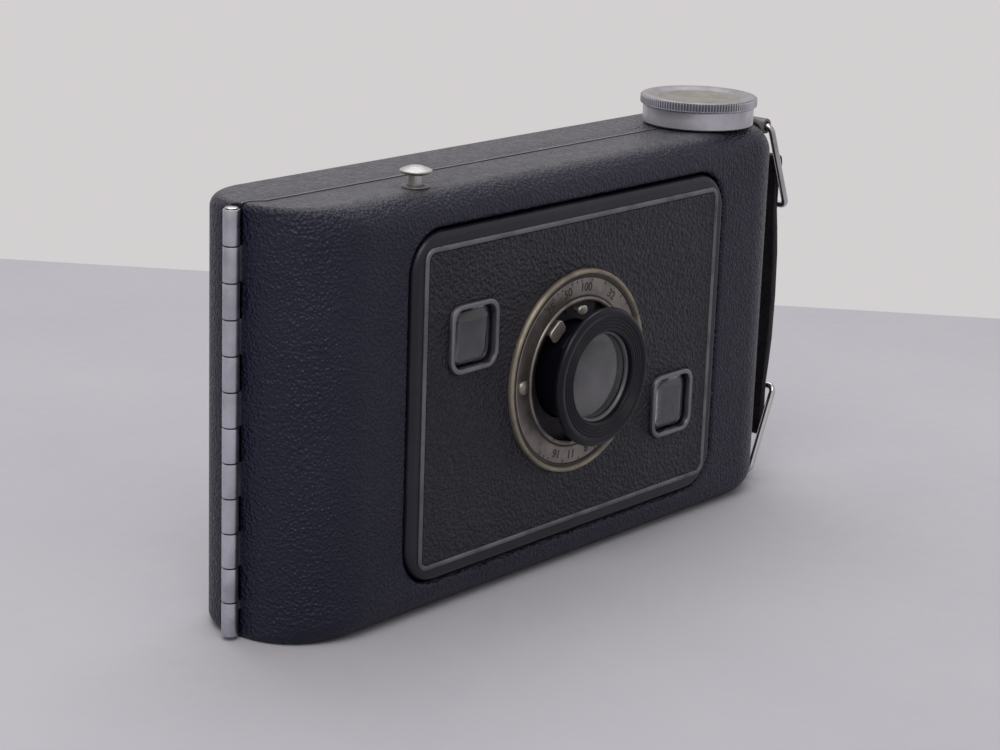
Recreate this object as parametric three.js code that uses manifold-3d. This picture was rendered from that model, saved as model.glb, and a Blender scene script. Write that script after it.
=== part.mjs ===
// Folding roll-film camera, closed and lying on its long side.
// The lens looks along -Y, the winding knob stands up along +Z and the back cover is hinged on the left.
// Millimetres. X = 0 and the lens axis are at the middle of the front panel, Z = 0 is the base,
// and Y = 0 lies 11 mm behind the face of the front panel.

import * as THREE from 'three';
import { mergeVertices } from 'three/addons/utils/BufferGeometryUtils.js';
import { ConvexGeometry } from 'three/addons/geometries/ConvexGeometry.js';
import Module from 'manifold-3d';

const wasm = await Module();
wasm.setup();

// ---------------------------------------------------------------- driving dimensions

const BODY_HEIGHT = 84;
const BODY_FRONT = -10.3;
const BODY_BACK = 22;
const SHELL_LEFT = -76;
const COVER_LEFT = -77.4;
const BODY_RIGHT = 74.8;
const FRONT_LEFT_RADIUS = 17;
const FRONT_RIGHT_RADIUS = 13.7;
const BACK_RADIUS = 13;
const EDGE_RADIUS = 6;
const SHELL_ROLLS = { left: 1.2, right: 6, front: 6, back: 6 };
const COVER_ROLLS = { left: 2.5, right: 6, front: 6, back: 2.5 };
const WALL = 1.4;

const PARTING = 5.4;
const PARTING_LEFT = 6.9;
const PARTING_RIGHT = 9.2;
const PARTING_GAP = 0.35;

const HINGE = { x: -77.7, y: 7.9, low: 0.8, high: 83.2, radius: 1.6, bore: 0.9, pin: 0.7 };
const KNUCKLES = { count: 12, gap: 0.2 };
const HINGE_CLEARANCE = 0.4;
const LEAF = { thick: 0.7, low: 6, high: 78, rear: 9.85, room: 0.5 };

const AXIS_HEIGHT = 42;
const PANEL = { width: 97.6, height: 69.6, corner: 8, face: -10.8, rear: -9, skirt: -5, wall: 1 };
const OPENING_GAP = 0.5;
const BORDER = { width: 91.06, height: 63, line: 1.05, corner: 2, face: -11.25 };
const COVERING = { face: -11.08, seat: -10.83 };

const RING = { outer: 21.1, inner: 14.6, face: -12.1, plate: -11.6, seat: -10.83 };
const BEZEL = { radius: 14.3, front: -18.6, rear: -16.9, neck: 10.8, foot: -13.8, seat: -15.1 };
const BARREL = { radius: 9.9, bore: 7.8, tail: -7.6 };
const LIP = { root: 9.4, inner: 8.7, rear: -16.5, front: -17.2 };
const GLASS = { radius: 9.1, edge: -16.25, crown: -17.2 };
const PANEL_BORE = 16.8;

const FINDER = { outer: 13.8, opening: 11.7, corner: 3, face: -12, boxRear: 4.2 };
const FINDERS = { left: [-32.2, 55], right: [32.5, 28.7] };

const KNOB = { x: 57.7, y: 4, skirt: 12.1, rim: 12.74, base: 84.4, rimLow: 88.5, top: 90.5 };
const SPOOL = { x: 57.7, y: 4, core: 3.4, flange: 9.7, low: 9.7, high: 74.3, flangeThick: 0.9 };

const TRIPOD = { x: 36, y: 0.3, outer: 4.3, thread: 3.1, high: 6.5 };

const BUTTON = { x: -40.6, y: -2.9, head: 3.15, stem: 1.4, headLow: 86.4, headHigh: 88.1, footLow: 75.35 };

const BAR = { length: 90, width: 5, thick: 0.8, outer: 31.4, inner: 30.3, y: 1.5 };

const WINDOW = { x: 30, radius: 5.1, bore: 3.6, rim: 6.3 };
const LATCH = { face: 75.7, stemFront: 11.6, stemRear: 14, stemLow: 39.5, stemHigh: 44.5 };
const LATCH_SLOT = { inner: 68, high: 48.2 };

const GATE = { halfWidth: 41, halfHeight: 28, front: 12.9, back: 14.3 };
const FRAME_HALF_WIDTH = 44.4;

const LOOP = { topX: 75.6, topZ: 82.3, outX: 83.5, outZ: 63.4, near: -3.2, far: 8, wire: 0.75 };
const STRAP = { inner: 81, outer: 82.6, near: -2, far: 6.8, low: 9, high: 75, tip: 6 };

const ARC_STEPS = 5;
const EDGE_STEPS = 3;
const ROUND = 28;
const SMALL_ROUND = 14;

// ---------------------------------------------------------------- materials

function material(name, color, roughness, metalness) {
  return new THREE.MeshStandardMaterial({ name, color, roughness, metalness, flatShading: true });
}

const leatherette = () => material('leatherette', 0x25262e, 0.72, 0);
const enamel = () => material('black_enamel', 0x17171b, 0.4, 0.1);
const nickel = () => material('nickel', 0x8d9098, 0.32, 1);
const brass = () => material('old_brass', 0x968c6e, 0.35, 1);
const aluminium = () => material('aluminium', 0x9fa1a5, 0.42, 1);
const blackSteel = () => material('black_steel', 0x202124, 0.5, 0.6);
const steel = () => material('steel', 0x7d8086, 0.35, 1);
const glass = () => material('glass', 0x8f9498, 0.08, 0);
const mirror = () => material('mirror', 0xc8ccd0, 0.04, 1);
const bezelBlack = () => material('bezel_black', 0x2b2b2f, 0.45, 0.1);
const bellowsLeather = () => material('bellows_leather', 0x141416, 0.8, 0);
const strapLeather = () => material('strap_leather', 0x16151a, 0.6, 0);
const redGlass = () => material('red_window', 0x7a1010, 0.15, 0);
const borderPaint = () => material('border_paint', 0x6a686c, 0.45, 0.6);

// ---------------------------------------------------------------- solids

function bareMesh(geometry) {
  const bare = geometry.clone();
  bare.deleteAttribute('normal');
  bare.deleteAttribute('uv');
  return mergeVertices(bare, 1e-4);
}

function solid(geometry) {
  const merged = bareMesh(geometry);
  const corners = merged.index.array;
  const kept = [];
  for (let i = 0; i < corners.length; i += 3) {
    const [a, b, c] = [corners[i], corners[i + 1], corners[i + 2]];
    if (a !== b && b !== c && c !== a) kept.push(a, b, c);
  }
  const vertProperties = new Float32Array(merged.attributes.position.array);
  const triVerts = new Uint32Array(kept);
  return new wasm.Manifold(new wasm.Mesh({ numProp: 3, vertProperties, triVerts }));
}

function geometryOf(manifold) {
  const mesh = manifold.getMesh();
  const geometry = new THREE.BufferGeometry();
  geometry.setAttribute('position', new THREE.BufferAttribute(new Float32Array(mesh.vertProperties), 3));
  geometry.setIndex(new THREE.BufferAttribute(new Uint32Array(mesh.triVerts), 1));
  geometry.computeVertexNormals();
  return geometry;
}

function join(...geometries) {
  return geometryOf(geometries.map(solid).reduce((a, b) => a.add(b)));
}

function cut(base, ...tools) {
  return geometryOf(tools.map(solid).reduce((a, b) => a.subtract(b), solid(base)));
}

function keepInside(base, tool) {
  return geometryOf(solid(base).intersect(solid(tool)));
}

// ---------------------------------------------------------------- basic shapes

function box(x0, x1, y0, y1, z0, z1) {
  const geometry = new THREE.BoxGeometry(x1 - x0, y1 - y0, z1 - z0);
  return geometry.translate((x0 + x1) / 2, (y0 + y1) / 2, (z0 + z1) / 2);
}

function postZ(x, y, radius, z0, z1, sides = SMALL_ROUND) {
  const geometry = new THREE.CylinderGeometry(radius, radius, z1 - z0, sides).rotateX(Math.PI / 2);
  return geometry.translate(x, y, (z0 + z1) / 2);
}

function postY(x, z, radius, y0, y1, sides = SMALL_ROUND) {
  const geometry = new THREE.CylinderGeometry(radius, radius, y1 - y0, sides);
  return geometry.translate(x, (y0 + y1) / 2, z);
}

function facingOut(profile) {
  let area = 0;
  profile.forEach(([r, h], i) => {
    const [nextR, nextH] = profile[(i + 1) % profile.length];
    area += r * nextH - nextR * h;
  });
  return area > 0 ? profile : [...profile].reverse();
}

// A turned piece about the local Y axis.
// A ring's profile closes on itself, and a disc's starts and ends at r = 0.
function turned(profile, sides) {
  const points = facingOut(profile).map(([r, h]) => new THREE.Vector2(r, h));
  if (points.every((point) => point.x > 0)) points.push(points[0].clone());
  return new THREE.LatheGeometry(points, sides);
}

const turnedOnLens = (profile, sides = ROUND) => turned(profile, sides).translate(0, 0, AXIS_HEIGHT);

function turnedZ(x, y, profile, sides = ROUND) {
  return turned(profile, sides).rotateX(Math.PI / 2).translate(x, y, 0);
}

function roundedRect(cx, cy, width, height, corner) {
  const [x0, x1, y0, y1] = [cx - width / 2, cx + width / 2, cy - height / 2, cy + height / 2];
  const shape = new THREE.Shape();
  shape.moveTo(x0 + corner, y0);
  shape.lineTo(x1 - corner, y0);
  shape.absarc(x1 - corner, y0 + corner, corner, -Math.PI / 2, 0);
  shape.lineTo(x1, y1 - corner);
  shape.absarc(x1 - corner, y1 - corner, corner, 0, Math.PI / 2);
  shape.lineTo(x0 + corner, y1);
  shape.absarc(x0 + corner, y1 - corner, corner, Math.PI / 2, Math.PI);
  shape.lineTo(x0, y0 + corner);
  shape.absarc(x0 + corner, y0 + corner, corner, Math.PI, Math.PI * 1.5);
  return shape;
}

// An outline drawn in X and Z, as thick as from y0 to y1.
function plateY(shape, y0, y1, curveSegments = ARC_STEPS) {
  const geometry = new THREE.ExtrudeGeometry(shape, { depth: y1 - y0, bevelEnabled: false, curveSegments });
  return geometry.rotateX(Math.PI / 2).translate(0, y1, 0);
}

function plateZ(shape, z0, z1, curveSegments = ARC_STEPS) {
  const geometry = new THREE.ExtrudeGeometry(shape, { depth: z1 - z0, bevelEnabled: false, curveSegments });
  return geometry.translate(0, 0, z0);
}

function polygon(points) {
  return new THREE.Shape(points.map(([x, y]) => new THREE.Vector2(x, y)));
}

// A plate in X and Z with rounded rims.
function pillowY(shape, y0, y1, rim, steps = 2, curveSegments = 3) {
  const geometry = new THREE.ExtrudeGeometry(shape, {
    depth: y1 - y0 - 2 * rim,
    bevelEnabled: true,
    bevelThickness: rim,
    bevelSize: rim,
    bevelOffset: -rim,
    bevelSegments: steps,
    curveSegments,
  });
  return geometry.rotateX(Math.PI / 2).translate(0, y1 - rim, 0);
}

function sector(radius0, radius1, from, to) {
  const shape = new THREE.Shape();
  shape.absarc(0, AXIS_HEIGHT, radius1, from, to, false);
  shape.absarc(0, AXIS_HEIGHT, radius0, to, from, true);
  return shape;
}

// Round wire through a list of corners.
function wire(points, radius, sides = 7) {
  const corners = points.map(([x, y, z]) => new THREE.Vector3(x, y, z));
  const pieces = corners.map((corner) => {
    return new THREE.SphereGeometry(radius, sides, 4).translate(corner.x, corner.y, corner.z);
  });
  corners.forEach((start, i) => {
    const end = corners[(i + 1) % corners.length];
    const along = end.clone().sub(start);
    const rod = new THREE.CylinderGeometry(radius, radius, along.length(), sides);
    const direction = along.clone().normalize();
    const turn = new THREE.Quaternion().setFromUnitVectors(new THREE.Vector3(0, 1, 0), direction);
    const middle = start.clone().add(end).multiplyScalar(0.5);
    pieces.push(rod.applyQuaternion(turn).translate(middle.x, middle.y, middle.z));
  });
  return join(...pieces);
}

class Helix extends THREE.Curve {
  constructor(centre, radius, z0, z1, turns) {
    super();
    Object.assign(this, { centre, radius, z0, z1, turns });
  }

  getPoint(t, target = new THREE.Vector3()) {
    const angle = t * this.turns * Math.PI * 2;
    const [x, y] = this.centre;
    return target.set(
      x + this.radius * Math.cos(angle),
      y + this.radius * Math.sin(angle),
      this.z0 + (this.z1 - this.z0) * t,
    );
  }
}

// ---------------------------------------------------------------- the assembly

const camera = new THREE.Group();

function add(name, geometry, itsMaterial) {
  const mesh = new THREE.Mesh(geometryOf(solid(geometry)), itsMaterial);
  mesh.name = name;
  camera.add(mesh);
  return mesh;
}

// ---- body shells

// How far a rolled edge stands back from its side at a depth below the top.
function rollInset(roll, depth) {
  return depth >= roll ? 0 : roll - Math.sqrt(roll ** 2 - (roll - depth) ** 2);
}

// The body in plan at a depth below its top, drawn inset from its outside.
function bodyPlan(left, rolls, inset, depth) {
  const back = (side) => inset + rollInset(Math.max(rolls[side] - inset, 0.01), depth);
  const [x0, x1] = [left + back('left'), BODY_RIGHT - back('right')];
  const [y0, y1] = [BODY_FRONT + back('front'), BODY_BACK - back('back')];
  const corners = [
    [x1, y0, FRONT_RIGHT_RADIUS - back('front'), -90],
    [x1, y1, BACK_RADIUS - Math.max(back('right'), back('back')), 0],
    [x0, y1, BACK_RADIUS - Math.max(back('left'), back('back')), 90],
    [x0, y0, FRONT_LEFT_RADIUS - back('front'), 180],
  ];
  return corners.flatMap(([x, y, radius, start]) => {
    const [cx, cy] = [x - Math.sign(x) * radius, y + (y === y0 ? radius : -radius)];
    return Array.from({ length: ARC_STEPS + 1 }, (_, i) => {
      const angle = ((start + (90 * i) / ARC_STEPS) * Math.PI) / 180;
      return [cx + radius * Math.cos(angle), cy + radius * Math.sin(angle)];
    });
  });
}

// Skins a stack of outlines with equal counts and closes both ends.
function stack(layers) {
  const count = layers[0].outline.length;
  const last = layers.length - 1;
  const positions = layers.flatMap(({ z, outline }) => outline.flatMap(([x, y]) => [x, y, z]));
  const faces = [];
  for (let i = 0; i < count; i += 1) {
    const j = (i + 1) % count;
    for (let k = 0; k < last; k += 1) {
      const [low, high] = [k * count, (k + 1) * count];
      faces.push(low + i, low + j, high + j, low + i, high + j, high + i);
    }
    faces.push(layers.length * count, j, i);
    faces.push(layers.length * count + 1, last * count + i, last * count + j);
  }
  positions.push(0, 5, layers[0].z, 0, 5, layers[last].z);
  const geometry = new THREE.BufferGeometry();
  geometry.setAttribute('position', new THREE.Float32BufferAttribute(positions, 3));
  geometry.setIndex(faces);
  return geometry;
}

function roundedBody(left, rolls, inset) {
  const roll = EDGE_RADIUS - inset;
  const turn = Math.PI / 2 / EDGE_STEPS;
  const depths = Array.from({ length: EDGE_STEPS + 1 }, (_, i) => roll * (1 - Math.cos(turn * i)));
  const lower = depths.map((depth) => ({ z: inset + depth, outline: bodyPlan(left, rolls, inset, depth) }));
  const upper = lower.map(({ z, outline }) => ({ z: BODY_HEIGHT - z, outline })).reverse();
  return stack([...lower, ...upper]);
}

const FAR = 120;

// Everything in front of the parting line, which steps back at the hinge and under the knob.
function frontOfParting(shift) {
  const plan = polygon([
    [FAR, -FAR], [FAR, PARTING_RIGHT + shift], [66, PARTING_RIGHT + shift], [62, PARTING + shift],
    [-70.8, PARTING + shift], [-73.3, PARTING_LEFT + shift], [-FAR, PARTING_LEFT + shift], [-FAR, -FAR],
  ]);
  return plateZ(plan, -FAR, FAR);
}

function bodyShell(left, rolls) {
  return cut(roundedBody(left, rolls, 0), roundedBody(left, rolls, WALL));
}

// The cover's end wall starts behind its hinge leaf.
const leafRoom = box(
  COVER_LEFT - 1, COVER_LEFT + WALL + LEAF.room, PARTING_LEFT, LEAF.rear + 0.1,
  LEAF.low - LEAF.room, LEAF.high + LEAF.room,
);

// The latch slides up in this slot.
const latchSlot = box(
  LATCH_SLOT.inner, BODY_RIGHT + 3, LATCH.stemFront - 0.4, LATCH.stemRear + 0.4,
  LATCH.stemLow - 0.6, LATCH_SLOT.high,
);

const hingeGroove = (radius) => postZ(HINGE.x, HINGE.y, radius, -1, BODY_HEIGHT + 1, 20);

add('front_shell', cut(
  keepInside(bodyShell(SHELL_LEFT, SHELL_ROLLS), frontOfParting(0)),
  plateY(roundedRect(0, AXIS_HEIGHT, PANEL.width + 2 * OPENING_GAP, PANEL.height + 2 * OPENING_GAP,
    PANEL.corner + OPENING_GAP), BODY_FRONT - 1, BODY_FRONT + WALL + 1),
  hingeGroove(HINGE.radius + 0.3),
  postZ(BUTTON.x, BUTTON.y, 2.5, BODY_HEIGHT - WALL - 1, BODY_HEIGHT + 1),
  postZ(KNOB.x, KNOB.y, 5.2, BODY_HEIGHT - WALL - 1, BODY_HEIGHT + 1, 20),
  postZ(TRIPOD.x, TRIPOD.y, TRIPOD.outer + 0.1, -1, WALL + 1, 20),
), leatherette());

add('back_shell', cut(
  bodyShell(COVER_LEFT, COVER_ROLLS),
  frontOfParting(PARTING_GAP),
  hingeGroove(HINGE.radius + HINGE_CLEARANCE),
  leafRoom,
  postZ(KNOB.x, KNOB.y, 5.6, BODY_HEIGHT - WALL - 1, BODY_HEIGHT + 1, 20),
  postY(WINDOW.x, AXIS_HEIGHT, WINDOW.radius + 0.3, BODY_BACK - WALL - 1, BODY_BACK + 1, 20),
  latchSlot,
), leatherette());

// ---- hinge

const PITCH = (HINGE.high - HINGE.low) / KNUCKLES.count;

function knuckles(first, web) {
  const pieces = [];
  for (let i = first; i < KNUCKLES.count; i += 2) {
    const high = HINGE.high - i * PITCH - KNUCKLES.gap / 2;
    const low = HINGE.high - (i + 1) * PITCH + KNUCKLES.gap / 2;
    pieces.push(postZ(HINGE.x, HINGE.y, HINGE.radius, low, high, 12));
    pieces.push(web(Math.max(low, LEAF.low), Math.min(high, LEAF.high)));
  }
  return pieces;
}

function hingeLeaf(first, web, ...strips) {
  const leaf = join(...strips, ...knuckles(first, web));
  return cut(leaf, postZ(HINGE.x, HINGE.y, HINGE.bore, 0, BODY_HEIGHT, 12));
}

const bodyLeaf = SHELL_LEFT + WALL + 0.25;
const bodyLeafRear = PARTING_LEFT + 0.5;

add('body_hinge_leaf', hingeLeaf(
  1,
  (low, high) => box(HINGE.x + 0.9, bodyLeaf + LEAF.thick, PARTING_LEFT + 0.02, bodyLeafRear, low, high),
  box(bodyLeaf, bodyLeaf + LEAF.thick, PARTING + 0.3, bodyLeafRear, LEAF.low, LEAF.high),
), nickel());

const coverLeaf = COVER_LEFT + WALL + 0.35;

add('cover_hinge_leaf', hingeLeaf(
  0,
  (low, high) => box(HINGE.x, coverLeaf + LEAF.thick, HINGE.y + 1, LEAF.rear, low, high),
  box(coverLeaf, coverLeaf + LEAF.thick, HINGE.y + 1, LEAF.rear + 0.95, LEAF.low + 1, LEAF.high - 1),
), nickel());

add('hinge_pin', postZ(HINGE.x, HINGE.y, HINGE.pin, HINGE.low - 0.3, HINGE.high + 0.3, 10), steel());

// ---- inner frame, film path and spools

const ROLLER = { x: 46.4, y: 11, radius: 1.7, low: 8, high: 76, pin: 0.7 };

for (const [side, sign] of [['left', -1], ['right', 1]]) {
  add(`film_roller_${side}`, turnedZ(sign * ROLLER.x, ROLLER.y, [
    [0, 6.3], [ROLLER.pin, 6.3], [ROLLER.pin, ROLLER.low], [ROLLER.radius, ROLLER.low],
    [ROLLER.radius, ROLLER.high], [ROLLER.pin, ROLLER.high], [ROLLER.pin, 77.7], [0, 77.7],
  ], 12), nickel());
}

// The plate behind the bellows with the picture opening and four ears that carry the film rollers.
function innerFrame() {
  const plate = cut(
    box(-FRAME_HALF_WIDTH, FRAME_HALF_WIDTH, GATE.front, GATE.back, 1.7, 82.3),
    box(-GATE.halfWidth, GATE.halfWidth, 0, 20, AXIS_HEIGHT - GATE.halfHeight, AXIS_HEIGHT + GATE.halfHeight),
  );
  const ears = [-1, 1].flatMap((sign) => [[6.6, 7.6], [76.4, 77.4]].map(([low, high]) => join(
    cut(
      box(sign * ROLLER.x - 1.6, sign * ROLLER.x + 1.6, ROLLER.y - 1.6, GATE.front + 0.7, low, high),
      postZ(sign * ROLLER.x, ROLLER.y, ROLLER.pin + 0.2, low - 1, high + 1, 12),
    ),
    box(sign * 42 - 3, sign * 42 + 3, GATE.front - 0.5, GATE.front + 0.7, low, high),
  )));
  return join(plate, ...ears);
}

add('inner_frame', innerFrame(), blackSteel());

function spool(x, keySlot) {
  const { core, flange, low, high, flangeThick } = SPOOL;
  const body = turnedZ(x, SPOOL.y, [
    [0, low], [flange, low], [flange, low + flangeThick], [core, low + flangeThick],
    [core, high - flangeThick], [flange, high - flangeThick], [flange, high], [0, high],
  ], 24);
  const ends = [postZ(x, SPOOL.y, 1.6, low - 1, low + 5, 12)];
  ends.push(keySlot ? box(x - 2.6, x + 2.6, SPOOL.y - 0.8, SPOOL.y + 0.8, high - 5, high + 1)
    : postZ(x, SPOOL.y, 1.6, high - 5, high + 1, 12));
  return cut(body, ...ends);
}

add('takeup_spool', spool(SPOOL.x, true), blackSteel());
add('supply_spool', spool(-SPOOL.x, false), blackSteel());

function spoolPin(name, x, base, tip) {
  const direction = Math.sign(tip - base);
  const flange = [base, base + direction * 0.8].sort((a, b) => a - b);
  const pin = [base, tip].sort((a, b) => a - b);
  add(name, join(postZ(x, SPOOL.y, 3, ...flange), postZ(x, SPOOL.y, 1.3, ...pin, 10)), steel());
}

const innerFloor = WALL + 0.05;
const innerCeiling = BODY_HEIGHT - WALL - 0.05;

spoolPin('takeup_pin_bottom', SPOOL.x, innerFloor, SPOOL.low + 3.5);
spoolPin('supply_pin_bottom', -SPOOL.x, innerFloor, SPOOL.low + 3.5);
spoolPin('supply_pin_top', -SPOOL.x, innerCeiling, SPOOL.high - 3.5);

// ---- winding knob

add('knob_bush', turnedZ(KNOB.x, KNOB.y, [
  [3.4, 78.5], [4.9, 78.5], [4.9, innerCeiling - 0.9], [6.4, innerCeiling - 0.9],
  [6.4, innerCeiling], [4.9, innerCeiling], [4.9, BODY_HEIGHT + 0.1], [3.4, BODY_HEIGHT + 0.1],
], 20), steel());

add('knob_sleeve', turnedZ(KNOB.x, KNOB.y, [
  [2.1, 78.8], [3.1, 78.8], [3.1, 87], [2.1, 87],
], 20), steel());

add('winding_knob', join(
  turnedZ(KNOB.x, KNOB.y, [
    [0, 87.3], [10.6, 87.3], [11, KNOB.base], [KNOB.skirt, KNOB.base], [KNOB.skirt, KNOB.rimLow],
    [KNOB.rim - 0.15, KNOB.rimLow], [KNOB.rim, KNOB.rimLow + 0.2], [KNOB.rim, KNOB.top - 0.3],
    [KNOB.rim - 0.3, KNOB.top - 0.1], [KNOB.rim - 1.1, KNOB.top], [KNOB.rim - 2.1, KNOB.top - 0.15],
    [KNOB.rim - 3.2, KNOB.top - 0.75], [7, KNOB.top - 1.05], [0, KNOB.top - 1.15],
  ], 36),
  postZ(KNOB.x, KNOB.y, 1.8, 77, 88, 12),
  box(KNOB.x - 2, KNOB.x + 2, KNOB.y - 0.5, KNOB.y + 0.5, 71.6, 78),
), aluminium());

// ---- release button

add('button_guide', turnedZ(BUTTON.x, BUTTON.y, [
  [BUTTON.stem + 0.2, 81.2], [2.3, 81.2], [2.3, 84.05],
  [2.75, 84.05], [2.75, 84.3], [BUTTON.stem + 0.2, 84.3],
], 16), brass());

add('release_button', join(
  turnedZ(BUTTON.x, BUTTON.y, [
    [0, 76], [BUTTON.stem, 76], [BUTTON.stem, BUTTON.headLow], [2.4, BUTTON.headLow],
    [BUTTON.head, BUTTON.headLow + 0.65], [BUTTON.head, BUTTON.headLow + 0.85], [2, BUTTON.headHigh - 0.25],
    [0, BUTTON.headHigh],
  ], 24),
  box(BUTTON.x - 1, BUTTON.x + 1, BUTTON.y - 1, BUTTON.y + 0.3, BUTTON.footLow, 76.5),
  box(BUTTON.x - 1, BUTTON.x + 4.4, BUTTON.y - 1.4, BUTTON.y + 0.3, BUTTON.footLow, BUTTON.footLow + 0.4),
), nickel());

// ---- back cover fittings

add('window_ring', turned([
  [WINDOW.bore, 19.4], [WINDOW.radius, 19.4], [WINDOW.radius, BODY_BACK + 0.05],
  [WINDOW.rim, BODY_BACK + 0.05], [WINDOW.rim, BODY_BACK + 0.5], [WINDOW.bore, BODY_BACK + 0.5],
], 24).translate(WINDOW.x, 0, AXIS_HEIGHT), nickel());
add('window_glass', postY(WINDOW.x, AXIS_HEIGHT, WINDOW.bore - 0.2, 20, 21.4, 20), redGlass());

const PRESS = { width: 86, height: 62, front: 16, rear: 16.7, flangeRear: 17.6, flange: 0.7 };

// A flat plate with its two long edges folded back.
function pressurePlate() {
  const halfLength = PRESS.width / 2 - 0.1;
  const edges = [1, -1].map((sign) => box(-halfLength, halfLength, PRESS.front, PRESS.flangeRear,
    ...offAxis(sign, PRESS.height / 2 - 0.1 - PRESS.flange, PRESS.height / 2 - 0.1)));
  const outline = roundedRect(0, AXIS_HEIGHT, PRESS.width, PRESS.height, 3);
  return join(plateY(outline, PRESS.front, PRESS.rear), ...edges);
}

add('pressure_plate', pressurePlate(), blackSteel());

const SPRING = { centre: -8, halfLength: 28, halfWidth: 6, thick: 0.4, crown: 20.2, drop: 2.2 };

// A shallow arch that pushes the pressure plate forward.
function leafSpring() {
  const { centre, halfLength, halfWidth, thick, crown, drop } = SPRING;
  const stations = Array.from({ length: 13 }, (_, i) => i / 6 - 1);
  const upper = stations.map((t) => [centre + t * halfLength, crown - drop * t * t]);
  const lower = upper.map(([x, y]) => [x, y - thick]);
  const outline = polygon([...lower, ...upper.reverse()]);
  return plateZ(outline, AXIS_HEIGHT - halfWidth, AXIS_HEIGHT + halfWidth);
}

add('pressure_spring', leafSpring(), steel());

// A finger plate outside the end wall, a stem through the slot, and inside it an arm with a hook.
function latch() {
  const { face, stemFront, stemRear, stemLow, stemHigh } = LATCH;
  const arm = { x: 70.4, thick: 0.9, front: 5.5 };
  return join(
    box(BODY_RIGHT - 0.25, face, stemFront - 1, stemRear + 1.2, stemLow - 2, stemHigh + 2),
    box(arm.x, BODY_RIGHT - 0.2, stemFront, stemRear, stemLow, stemHigh),
    box(arm.x, arm.x + arm.thick, arm.front, stemRear, stemLow, stemHigh),
    box(arm.x + 0.8, arm.x + 2, arm.front, arm.front + 1, stemLow, AXIS_HEIGHT),
  );
}

add('cover_latch', latch(), nickel());
add('latch_catch', box(71.7, BODY_RIGHT - WALL - 0.2, 7, 8.6, LATCH.stemLow - 2, AXIS_HEIGHT), steel());

add('tripod_bush', cut(
  postZ(TRIPOD.x, TRIPOD.y, TRIPOD.outer, 0.03, TRIPOD.high, 20),
  postZ(TRIPOD.x, TRIPOD.y, TRIPOD.thread, -1, TRIPOD.high - 1, 16),
), nickel());

// ---- front panel

const panelOutline = roundedRect(0, AXIS_HEIGHT, PANEL.width, PANEL.height, PANEL.corner);
const panelInside = roundedRect(0, AXIS_HEIGHT, PANEL.width - 2 * PANEL.wall, PANEL.height - 2 * PANEL.wall,
  PANEL.corner - PANEL.wall);
const finderSquare = ([x, z], side, corner) => roundedRect(x, z, side, side, corner);

// Z limits on the side above (sign 1) or below (sign -1) the lens axis.
function offAxis(sign, near, far) {
  return [AXIS_HEIGHT + sign * near, AXIS_HEIGHT + sign * far].sort((a, b) => a - b);
}

function panelBody() {
  const rim = 1.4;
  const pressed = join(
    pillowY(panelOutline, PANEL.face, PANEL.face + 2 * rim, rim, 3, ARC_STEPS),
    plateY(panelOutline, PANEL.face + rim, PANEL.skirt),
  );
  const shell = cut(
    pressed,
    plateY(panelInside, PANEL.rear, 0),
    postY(0, AXIS_HEIGHT, PANEL_BORE, -13, -8, ROUND),
    ...Object.values(FINDERS).map((centre) => plateY(finderSquare(centre, FINDER.opening, 2.4), -13, -8, 3)),
  );
  const ears = [1, -1].flatMap((sign) => [
    box(-47, -43, PANEL.rear - 0.3, BAR.y + 1.5, ...offAxis(sign, 29.2, 30)),
    box(8, 47, PANEL.rear - 0.3, -3.2, ...offAxis(sign, 29.2, 30)),
  ]);
  return join(shell, ...ears);
}

add('front_panel', panelBody(), enamel());

add('panel_border', cut(
  plateY(roundedRect(0, AXIS_HEIGHT, BORDER.width + BORDER.line, BORDER.height + BORDER.line,
    BORDER.corner + BORDER.line / 2), BORDER.face, COVERING.seat, 4),
  plateY(roundedRect(0, AXIS_HEIGHT, BORDER.width - BORDER.line, BORDER.height - BORDER.line,
    BORDER.corner - BORDER.line / 2), -13, -9, 4),
), borderPaint());

add('panel_covering', cut(
  plateY(roundedRect(0, AXIS_HEIGHT, BORDER.width - BORDER.line - 0.2, BORDER.height - BORDER.line - 0.2,
    BORDER.corner - BORDER.line / 2), COVERING.face, COVERING.seat, 4),
  postY(0, AXIS_HEIGHT, RING.outer + 0.15, -13, -9, ROUND),
  ...Object.values(FINDERS).map((centre) => {
    return plateY(finderSquare(centre, FINDER.outer + 0.3, FINDER.corner), -13, -9, 3);
  }),
), leatherette());

const degrees = (angle) => (angle * Math.PI) / 180;

add('escutcheon', cut(
  turnedOnLens([
    [RING.outer, RING.seat], [RING.outer, -11.7], [20.4, RING.face], [19.7, -11.7], [19.55, -11.35],
    [19.3, RING.plate], [15.6, RING.plate], [15.5, -11.4], [15.35, -11.85], [14.95, -12],
    [RING.inner, -11.8], [RING.inner, RING.seat],
  ]),
  plateY(sector(13.5, 15.2, degrees(219), degrees(242)), -13, -11.6, 3),
), brass());

add('escutcheon_rivet', turned([
  [0, RING.plate + 0.02], [1.5, RING.plate + 0.02], [1.5, -11.62], [1.25, -12.1], [0.7, -12.42], [0, -12.5],
].map(([r, y]) => [r, y - 0.05]), 16).translate(-17.2, 0, AXIS_HEIGHT - 0.3), nickel());

const BLADE_PIVOT = [11, AXIS_HEIGHT - 6];

// A drum behind the panel, open at the front for the barrel and at the rear for the light.
add('shutter_housing', join(
  turnedOnLens([
    [10.4, -8.9], [17, -8.9], [17, 1], [4, 1], [4, 0.2], [16.2, 0.2], [16.2, -8.1], [10.4, -8.1],
  ]),
  postY(...BLADE_PIVOT, 0.7, -6.4, 0.4, 10),
), blackSteel());

add('rear_lens', turnedOnLens([[0, -2.6], [3, -2.4], [5.9, -1.6], [5.9, 0.15], [0, 0.15]], 24), glass());

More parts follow.
